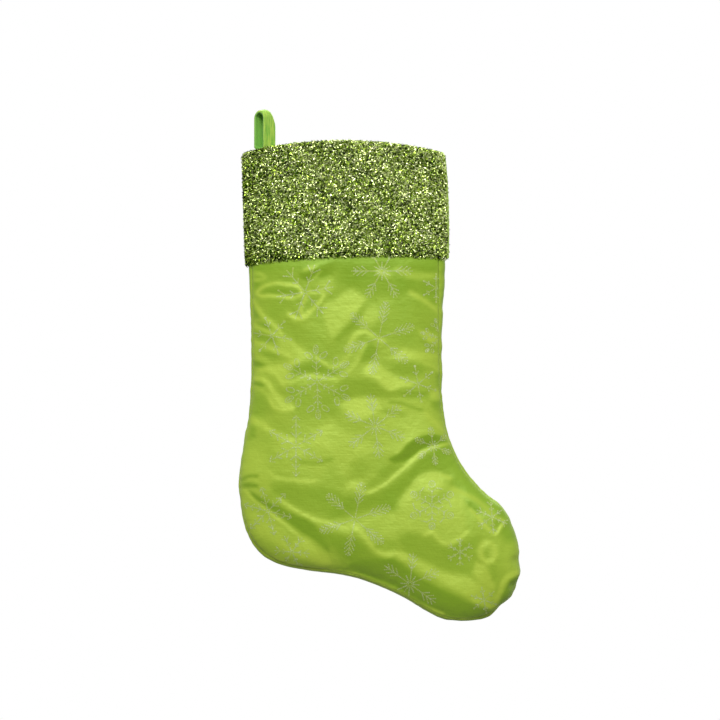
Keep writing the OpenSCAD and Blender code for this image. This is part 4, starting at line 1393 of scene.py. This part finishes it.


class STOCKING_OT_tinsel_pile(bpy.types.Operator):
    """Covers the cuff with short crimped strands of metallised film"""

    bl_idname = "stocking.tinsel_pile"
    bl_label = "Tinsel pile"

    def execute(self, context):
        quarters = ("back_right", "back_left", "front_left", "front_right")
        for n, name in enumerate(quarters):
            pile = self.quarter_pile("tinsel_" + name, n * math.pi / 2, 31 + n)
            dress(pile, "stocking", "tinsel")
        return {"FINISHED"}

    def quarter_pile(self, name, first, seed):
        """Strands over a quarter of the cuff, on from the given turn."""
        rng = np.random.default_rng(seed)
        count = sizes().pile_count
        section = cuff_section()[:-3]
        run = path_lengths(section)
        pick = rng.uniform(0, run[-1], count)

        def on_section(shift):
            at = np.clip(pick + shift, 0, run[-1])
            return np.interp(at, run, section[:, 0]), np.interp(at, run, section[:, 1])

        offset, height = on_section(0)
        fine = np.linspace(first, first + math.pi / 2, 181)
        around = path_lengths(leg_ring(fine, GROUND_OUT, SPREAD_HEIGHT))
        turn = np.interp(rng.uniform(0, around[-1], count), around, fine)
        root = leg_ring(turn, offset, height)
        ahead = unit(leg_ring(turn + 0.004, offset, height) - root)
        up = unit(leg_ring(turn, *on_section(0.4 * MM)) - leg_ring(turn, *on_section(-0.4 * MM)))
        normal = unit(np.cross(ahead, up))
        keep = self.clear_of_seam(turn, height, offset) & self.clear_of_ribbon(root)
        root, ahead, up, normal = root[keep], ahead[keep], up[keep], normal[keep]
        count = len(root)
        points = self.strands(rng, root, ahead, up, normal)
        base = np.arange(count)[:, None] * STRAND_POINTS
        faces = (base + STRAND_FACES[None, :]).reshape(-1, 4).tolist()
        pile = new_piece(name, points.reshape(-1, 3), faces, material_of(tinsel_material), smooth=False)
        patches = slack(root[:, 0] * PATCH_SCALE, root[:, 2] * PATCH_SCALE, PATCH_SEED) / SLACK_HEIGHT
        # Painted shade: strands are given darker foil along the hem and down the back edge
        painted_edge_shade = np.exp(-((root[:, 2] - MOUTH_Z + sizes().cuff_height) / PILE_SHADE_HEM) ** 2)
        painted_edge_shade += np.exp(-((root[:, 0] - OUTLINE[0, 0]) / PILE_SHADE_BACK) ** 2)
        # Most strands are near the darkest or the brightest foil
        tint = np.clip(rng.beta(0.5, 0.5, count) + 0.04 * patches + 0.02 - 0.2 * painted_edge_shade, 0, 1)
        tint = np.repeat(tint, STRAND_POINTS).astype(np.float32)
        pile.data.attributes.new("tint", "FLOAT", "POINT").data.foreach_set("value", tint)
        return pile

    @staticmethod
    def clear_of_seam(turn, height, offset):
        """Strands leave the side seam of the cuff bare."""
        lean = (turn + math.pi) % TAU - math.pi
        return ~((np.abs(lean - SIDE_SEAM[0]) < SIDE_SEAM[1]) & (height < -1 * MM) & (offset > 0))

    @staticmethod
    def clear_of_ribbon(root):
        """Strands stay out of the hanging ribbon."""
        low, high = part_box("loop_tails")
        inside = root[:, 2] > low.z - RIBBON_MARGIN
        for way in (0, 1):
            inside &= (root[:, way] > low[way] - RIBBON_MARGIN) & (root[:, way] < high[way] + RIBBON_MARGIN)
        return ~inside

    @staticmethod
    def strands(rng, root, ahead, up, normal):
        """Four pairs of points for each strand, which rises from its root, bends over and crimps.

        Film slit about 0.3 mm wide in real tinsel is drawn 0.6 to 1 mm wide so that it shows.
        """
        count = len(root)
        way = rng.uniform(0, TAU, count)
        along = unit(ahead * np.cos(way)[:, None] + (up * np.sin(way)[:, None]) - 0.25 * up)
        tall = sizes().pile_height * rng.uniform(0.55, 1.15, count)
        length = rng.uniform(0.8, 1.6, (3, count)) * MM
        lift = [rng.uniform(low, high, count) for low, high in ((0.45, 0.8), (0.05, 0.5), (-0.5, 0.3))]
        lift = np.stack(lift) * tall
        swerve = rng.normal(0, 0.8, count) * np.array([-0.6, 0.5, 1.4])[:, None]
        swerve = swerve + rng.normal(0, 0.3, (3, count))
        sideways = np.cross(normal, along)
        half = rng.uniform(0.3, 0.5, count)[:, None] * MM
        place = root - normal * 0.3 * MM
        out = []
        for i, taper in enumerate((1.0, 1.0, 1.0, 0.6)):
            roll = rng.normal(0, 0.7, count)[:, None]
            edge = unit(sideways * np.cos(roll) + normal * np.sin(roll))
            out += [place - edge * half * taper, place + edge * half * taper]
            if i < 3:
                heading = unit(along + sideways * swerve[i][:, None])
                place = place + heading * length[i][:, None] + normal * lift[i][:, None]
        return np.stack(out, axis=1)


# Threads

STITCH_HIGH, STITCH_THICK = 0.9 * MM, 0.8 * MM
STITCH_PITCH = 1.25  # from one stitch to the next, in stitch lengths
STITCH_OUT = 0.4 * MM  # distance of the stitches outside the CAD thread's outer line


class STOCKING_OT_stitching(bpy.types.Operator):
    """Sews the stitches round the mouth and the hem, and gives the other seams their thread"""

    bl_idname = "stocking.stitching"
    bl_label = "Stitching"

    def execute(self, context):
        thread = material_of(thread_material)
        stitches = self.mouth_stitches(thread)
        dress(stitches, "stocking", "thread", "mouth_seam_thread")
        dress(self.hem_stitches(thread), "stocking", "thread", "cuff_hem_thread")
        for node in ("shell_seam_thread", "lining_seam_thread", "bar_tack"):
            mesh = frame["nodes"][node].data
            mesh.materials.clear()
            mesh.materials.append(thread)
        return {"FINISHED"}

    @staticmethod
    def hem_stitches(thread):
        """The solid hem thread, moved up or down with the hem it holds."""
        solid = frame["nodes"]["cuff_hem_thread"]
        points = np.array([solid.matrix_world @ v.co for v in solid.data.vertices])
        points[:, 2] += hem_rise(leg_across(points[:, 0]))
        return new_piece("hem_stitches", points, [tuple(p.vertices) for p in solid.data.polygons], thread)

    @staticmethod
    def mouth_stitches(thread):
        """One slack stitch modelled and copied round the lip."""
        low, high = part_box("mouth_seam_thread")
        half = (high - low) / 2
        deselect_all()
        bpy.ops.mesh.primitive_uv_sphere_add(segments=8, ring_count=6, radius=0.5)
        first = bpy.context.object
        bpy.ops.object.mode_set(mode="EDIT")
        bpy.ops.mesh.select_all(action="SELECT")
        bpy.ops.transform.resize(value=(sizes().stitch_length, STITCH_THICK, STITCH_HIGH))
        bpy.ops.object.mode_set(mode="OBJECT")
        stitch = np.array([v.co for v in first.data.vertices])
        faces = [tuple(p.vertices) for p in first.data.polygons]
        bpy.data.objects.remove(first)
        fine = np.linspace(0, TAU, 721)
        outside = -0.5 * (sizes().mouth_depth - 2 * half.y) + STITCH_OUT
        height = -sizes().lip_height / 2
        run = path_lengths(leg_ring(fine, outside, height))
        count = int(run[-1] / (sizes().stitch_length * STITCH_PITCH))
        middles = np.interp(np.arange(count) * run[-1] / count, run, fine)
        points, all_faces = [], []
        for turn in middles:
            place = leg_ring(turn, outside, height)
            ahead = unit(leg_ring(turn + 0.003, outside, height) - place)
            across = unit(np.cross(ahead, (0, 0, 1)))
            up = np.cross(across, ahead)
            base = len(points) * len(stitch)
            points.append(place + stitch @ np.stack([ahead, across, up]))
            all_faces += [tuple(base + v for v in f) for f in faces]
        return new_piece("mouth_stitches", np.concatenate(points), all_faces, thread)


# The hanging ribbon

# Velvet face of the ribbon, with a low bead along each edge: shares of its half width and half thickness
FACE_ACROSS = (-0.98, -0.9, -0.8, -0.5, -0.1, 0.2, 0.42, 0.58, 0.7, 0.8, 0.9, 0.98)
FACE_RISE = (0.75, 1.0, 0.8, 0.85, 0.88, 0.88, 0.87, 0.86, 0.84, 0.82, 1.0, 0.75)
TAIL_CLEARANCE = 0.3 * MM  # height of the ribbon's ends above the CAD tails' foot
TAIL_GAP = 0.2 * MM  # gap between the two sewn ends
OPEN_FROM, OPENING = 5 * MM, 4.5 * MM  # drop below the fold where the ends part, and height that takes
TURN_FROM, TURNING = 5.5 * MM, 5 * MM  # the same for the turn from the ends' way to the loop's
BACK_DROOP = 2.2 * MM  # how far the loop's back edge droops below its crest


class STOCKING_OT_hanging_ribbon(bpy.types.Operator):
    """Makes the velvet ribbon, from its sewn ends up through the loop"""

    bl_idname = "stocking.hanging_ribbon"
    bl_label = "Hanging ribbon"

    def execute(self, context):
        s = sizes()
        fold = Vector(frame["joints"][0]["pos_m"])
        half_w, half_t = s.ribbon_width / 2, s.ribbon_thickness / 2
        face = list(zip(FACE_ACROSS, FACE_RISE))
        profile = [(-1.0, 0.0), *face, (1.0, 0.0), *((across, -rise) for across, rise in face[::-1])]
        stations = self.stations(fold.z)
        points = []
        for sideways, z, turn, out_side, out_up, middle in stations:
            width = np.array([math.cos(turn), math.sin(turn)])
            side_way = np.array([math.sin(turn), -math.cos(turn)])
            standing = float(smoothstep((z - fold.z) / -fold.z))
            for across, rise in profile:
                flat = middle + side_way * (sideways + out_side * rise * half_t) + width * across * half_w
                droop = s.loop_slant * (0.5 + across / 2) ** 6 + BACK_DROOP * (0.5 - across / 2) ** 3
                points.append((flat[0], flat[1], z + out_up * rise * half_t - droop * standing))
        size = len(profile)
        faces = tube_faces(len(stations), size)
        faces += [tuple(range(size)), tuple(range(len(points) - 1, len(points) - 1 - size, -1))]
        ribbon = new_piece("velvet_ribbon", points, faces, material_of(velvet_material))
        ribbon.data.materials.append(material_of(ribbon_back_material))
        # The back of the profile, after the face, is plain
        plain = [k % size > len(face) for k in range(size * (len(stations) - 1))] + [False, False]
        ribbon.data.polygons.foreach_set("material_index", np.array(plain, np.int32))
        deselect_all()
        ribbon.select_set(True)
        bpy.context.view_layer.objects.active = ribbon
        bpy.ops.object.mode_set(mode="EDIT")
        bpy.ops.mesh.select_all(action="SELECT")
        bpy.ops.mesh.normals_make_consistent(inside=False)
        bpy.ops.object.mode_set(mode="OBJECT")
        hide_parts("hanging_loop", "loop_tails")
        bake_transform(ribbon)
        return {"FINISHED"}

    def stations(self, fold_z):
        """Sections along the ribbon, from one sewn end up over the loop and down to the other: distance to
        the side, height, turn, shares of its outward way to the side and up, middle."""
        s = sizes()
        tail_turn, tail_middle = self.tail_place()
        loop_turn = self.loop_turn()
        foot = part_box("loop_tails")[0].z + TAIL_CLEARANCE
        top = -s.eye_width / 2
        bend = (s.eye_width + s.ribbon_thickness) / 2
        near = (s.ribbon_thickness + TAIL_GAP) / 2
        limb = []
        for z in np.concatenate([np.linspace(foot, fold_z, 10), np.linspace(fold_z, top, 18)[1:]]):
            opened = float(smoothstep((z - fold_z + OPEN_FROM) / OPENING))
            turned = float(smoothstep((z - fold_z + TURN_FROM) / TURNING))
            turn = tail_turn + (loop_turn - tail_turn) * turned
            limb.append((near + (bend - near) * opened, z, turn, tail_middle * (1 - turned)))
        crown = [
            (bend * math.cos(a), top + bend * math.sin(a), loop_turn, math.cos(a), math.sin(a), np.zeros(2))
            for a in np.linspace(math.pi, 0, 15)[1:-1]
        ]
        back = [(-out, z, turn, -1, 0.0, middle) for out, z, turn, middle in limb]
        front = [(out, z, turn, 1, 0.0, middle) for out, z, turn, middle in limb[::-1]]
        return back + crown + front

    @staticmethod
    def tail_place():
        """Turn and middle of the sewn ribbon ends, from the CAD solid's foot."""
        points = np.array([v.co for v in frame["nodes"]["loop_tails"].data.vertices])
        foot = np.unique(np.round(points[points[:, 2] < points[:, 2].min() + SAME_HEIGHT][:, :2], 5), axis=0)
        middle = foot.mean(axis=0)
        _, _, ways = np.linalg.svd(foot - middle)
        long_way = ways[0] * np.sign(ways[0, 0])
        return math.atan2(long_way[1], long_way[0]), middle

    @staticmethod
    def loop_turn():
        """Turn of the loop about the vertical, from the mount's axis through its eye."""
        axis = frame["record"]["mounts"][0]["axis"]
        return math.atan2(axis[1], axis[0])


# The stage

LAMP_AIM = Vector((0.09, -0.02, -0.27))  # middle of the stocking


class STOCKING_OT_stage(bpy.types.Operator):
    """Sets the floor, the soft light, the pale surroundings and the camera"""

    bl_idname = "stocking.stage"
    bl_label = "Stage"

    def execute(self, context):
        scene = context.scene
        scene.view_settings.view_transform = "Standard"
        self.floor()
        self.surroundings(scene)
        self.lamp("key_panel", (0.05, -3.5, 2.0), (2.3, 1.5), 49)
        self.lamp("back_panel_light", (0.2, 1.3, 0.9), (1.1, 0.7), 12)
        self.card()
        camera = bpy.data.cameras.new("camera")
        camera.lens = 110
        camera.sensor_width = 36
        view = bpy.data.objects.new("camera", camera)
        view.location = CAMERA
        view.rotation_euler = (math.pi / 2, 0, 0)
        scene.collection.objects.link(view)
        scene.camera = view
        return {"FINISHED"}

    @staticmethod
    def lamp(name, place, size, watts):
        """A soft rectangular lamp, turned to the stocking."""
        lamp = bpy.data.lights.new(name, "AREA")
        lamp.shape = "RECTANGLE"
        lamp.size, lamp.size_y = size
        lamp.energy = watts
        lamp.spread = math.radians(100)
        stand = bpy.data.objects.new(name, lamp)
        stand.location = place
        stand.rotation_euler = (LAMP_AIM - Vector(place)).to_track_quat("-Z", "Y").to_euler()
        bpy.context.scene.collection.objects.link(stand)

    @staticmethod
    def card():
        """A bent grey card below and behind the camera, unseen, which gives the cloth a dark to mirror."""
        deselect_all()
        bpy.ops.mesh.primitive_plane_add(size=1, location=(0.1, -0.7, -1.2))
        card = bpy.context.object
        card.name = "grey_card"
        card.scale = (5.0, 4.4, 1.0)
        bpy.ops.object.transform_apply(location=True, rotation=True, scale=True)
        bpy.ops.object.mode_set(mode="EDIT")
        bpy.ops.mesh.select_mode(type="EDGE")
        bpy.ops.mesh.select_all(action="DESELECT")
        bpy.ops.object.mode_set(mode="OBJECT")
        for edge in card.data.edges:
            edge.select = all(card.data.vertices[v].co.y < -2.5 for v in edge.vertices)
        bpy.ops.object.mode_set(mode="EDIT")
        bpy.ops.mesh.extrude_region_move(TRANSFORM_OT_translate={"value": (0, 0, 1.5)})
        bpy.ops.object.mode_set(mode="OBJECT")
        card.visible_camera = False
        card.visible_shadow = False
        material, tree = new_material("grey_card")
        place = add_node(tree, "ShaderNodeTexCoord").outputs["Object"]
        height = add_node(tree, "ShaderNodeSeparateXYZ", {"Vector": place})
        # The part that stands behind the camera is darker than the part that lies
        upright = add_node(
            tree, "ShaderNodeMapRange", {"Value": height.outputs["Z"], "From Min": -1.15, "From Max": -1.1}
        )
        colour = add_node(
            tree, "ShaderNodeMix",
            {"Factor": upright.outputs["Result"], "A": linear("#9A9A9A"), "B": linear("#3C3C3C")},
            data_type="RGBA",
        )
        shader = add_node(
            tree, "ShaderNodeBsdfPrincipled", {"Base Color": colour.outputs["Result"], "Roughness": 0.9}
        )
        add_node(tree, "ShaderNodeOutputMaterial", {"Surface": shader.outputs["BSDF"]})
        card.data.materials.append(material)

    def floor(self):
        """Pale where it is seen, darker where it throws light back up at the cloth."""
        deselect_all()
        bpy.ops.mesh.primitive_circle_add(vertices=64, radius=3.0, fill_type="NGON", location=(0.1, 0, -1.25))
        floor = bpy.context.object
        floor.name = "floor"
        bpy.ops.object.transform_apply(location=True, rotation=True, scale=True)
        material, tree = new_material("matt_white_floor")
        place = add_node(tree, "ShaderNodeTexCoord").outputs["Object"]
        grain = add_node(tree, "ShaderNodeTexNoise", {"Vector": place, "Scale": 40.0})
        pale = add_node(
            tree, "ShaderNodeMix",
            {"Factor": grain.outputs["Fac"], "A": linear("#F0F0EE"), "B": linear("#F4F4F2")},
            data_type="RGBA",
        )
        colour = add_node(
            tree, "ShaderNodeMix",
            {"Factor": self.shown(tree), "A": linear("#8A8A88"), "B": pale.outputs["Result"]},
            data_type="RGBA",
        )
        glow = add_node(tree, "ShaderNodeMath", {0: self.shown(tree), 1: 0.6}, operation="MULTIPLY")
        shader = add_node(
            tree, "ShaderNodeBsdfPrincipled",
            {
                "Base Color": colour.outputs["Result"], "Roughness": 0.9, "Emission Color": linear("#FFFFFF"),
                "Emission Strength": glow.outputs["Value"],
            },
        )
        add_node(tree, "ShaderNodeOutputMaterial", {"Surface": shader.outputs["BSDF"]})
        floor.data.materials.append(material)

    @staticmethod
    def shown(tree):
        """1 where the stage is seen or mirrored, 0 where it lights the cloth."""
        rays = add_node(tree, "ShaderNodeLightPath")
        mirrored = add_node(
            tree, "ShaderNodeMath",
            {0: rays.outputs["Is Glossy Ray"], 1: rays.outputs["Is Transmission Ray"]},
            operation="MAXIMUM",
        )
        return add_node(
            tree, "ShaderNodeMath", {0: rays.outputs["Is Camera Ray"], 1: mirrored.outputs["Value"]},
            operation="MAXIMUM",
        ).outputs["Value"]

    def surroundings(self, scene):
        """White where it is seen or mirrored, dimmer where it lights the cloth."""
        world = bpy.data.worlds.new("studio")
        scene.world = world
        world.use_nodes = True
        tree = world.node_tree
        tree.nodes.clear()
        level = {"Value": self.shown(tree), "To Min": 0.48, "To Max": 1.0}
        strength = add_node(tree, "ShaderNodeMapRange", level)
        light = add_node(
            tree, "ShaderNodeBackground",
            {"Color": linear("#FFFFFF"), "Strength": strength.outputs["Result"]},
        )
        add_node(tree, "ShaderNodeOutputWorld", {"Surface": light.outputs["Background"]})


class STOCKING_PT_panel(bpy.types.Panel):
    """Lists the steps that dress the stocking, with its sizes and colours"""

    bl_label = "Hanging stocking"
    bl_idname = "STOCKING_PT_panel"
    bl_space_type = "VIEW_3D"
    bl_region_type = "UI"
    bl_category = "Stocking"

    def draw(self, context):
        layout = self.layout
        for step in STEPS:
            layout.operator(step.bl_idname)
        for group in (context.scene.stocking_sizes, context.scene.stocking_colours):
            for name in group.__annotations__:
                layout.prop(group, name)


STEPS = (
    STOCKING_OT_stage, STOCKING_OT_satin_panels, STOCKING_OT_snowflake_print, STOCKING_OT_lining,
    STOCKING_OT_cuff, STOCKING_OT_tinsel_pile, STOCKING_OT_stitching, STOCKING_OT_hanging_ribbon,
)
CLASSES = (StockingSizes, StockingColours) + STEPS + (STOCKING_PT_panel,)


def register():
    for cls in CLASSES:
        bpy.utils.register_class(cls)
    bpy.types.Scene.stocking_sizes = PointerProperty(type=StockingSizes)
    bpy.types.Scene.stocking_colours = PointerProperty(type=StockingColours)


def unregister():
    del bpy.types.Scene.stocking_colours
    del bpy.types.Scene.stocking_sizes
    for cls in reversed(CLASSES):
        bpy.utils.unregister_class(cls)


def main():
    register()
    bpy.ops.stocking.stage()
    bpy.ops.stocking.satin_panels()
    bpy.ops.stocking.snowflake_print()
    bpy.ops.stocking.lining()
    bpy.ops.stocking.cuff()
    bpy.ops.stocking.tinsel_pile()
    bpy.ops.stocking.stitching()
    bpy.ops.stocking.hanging_ribbon()


if __name__ == "__main__":
    main()
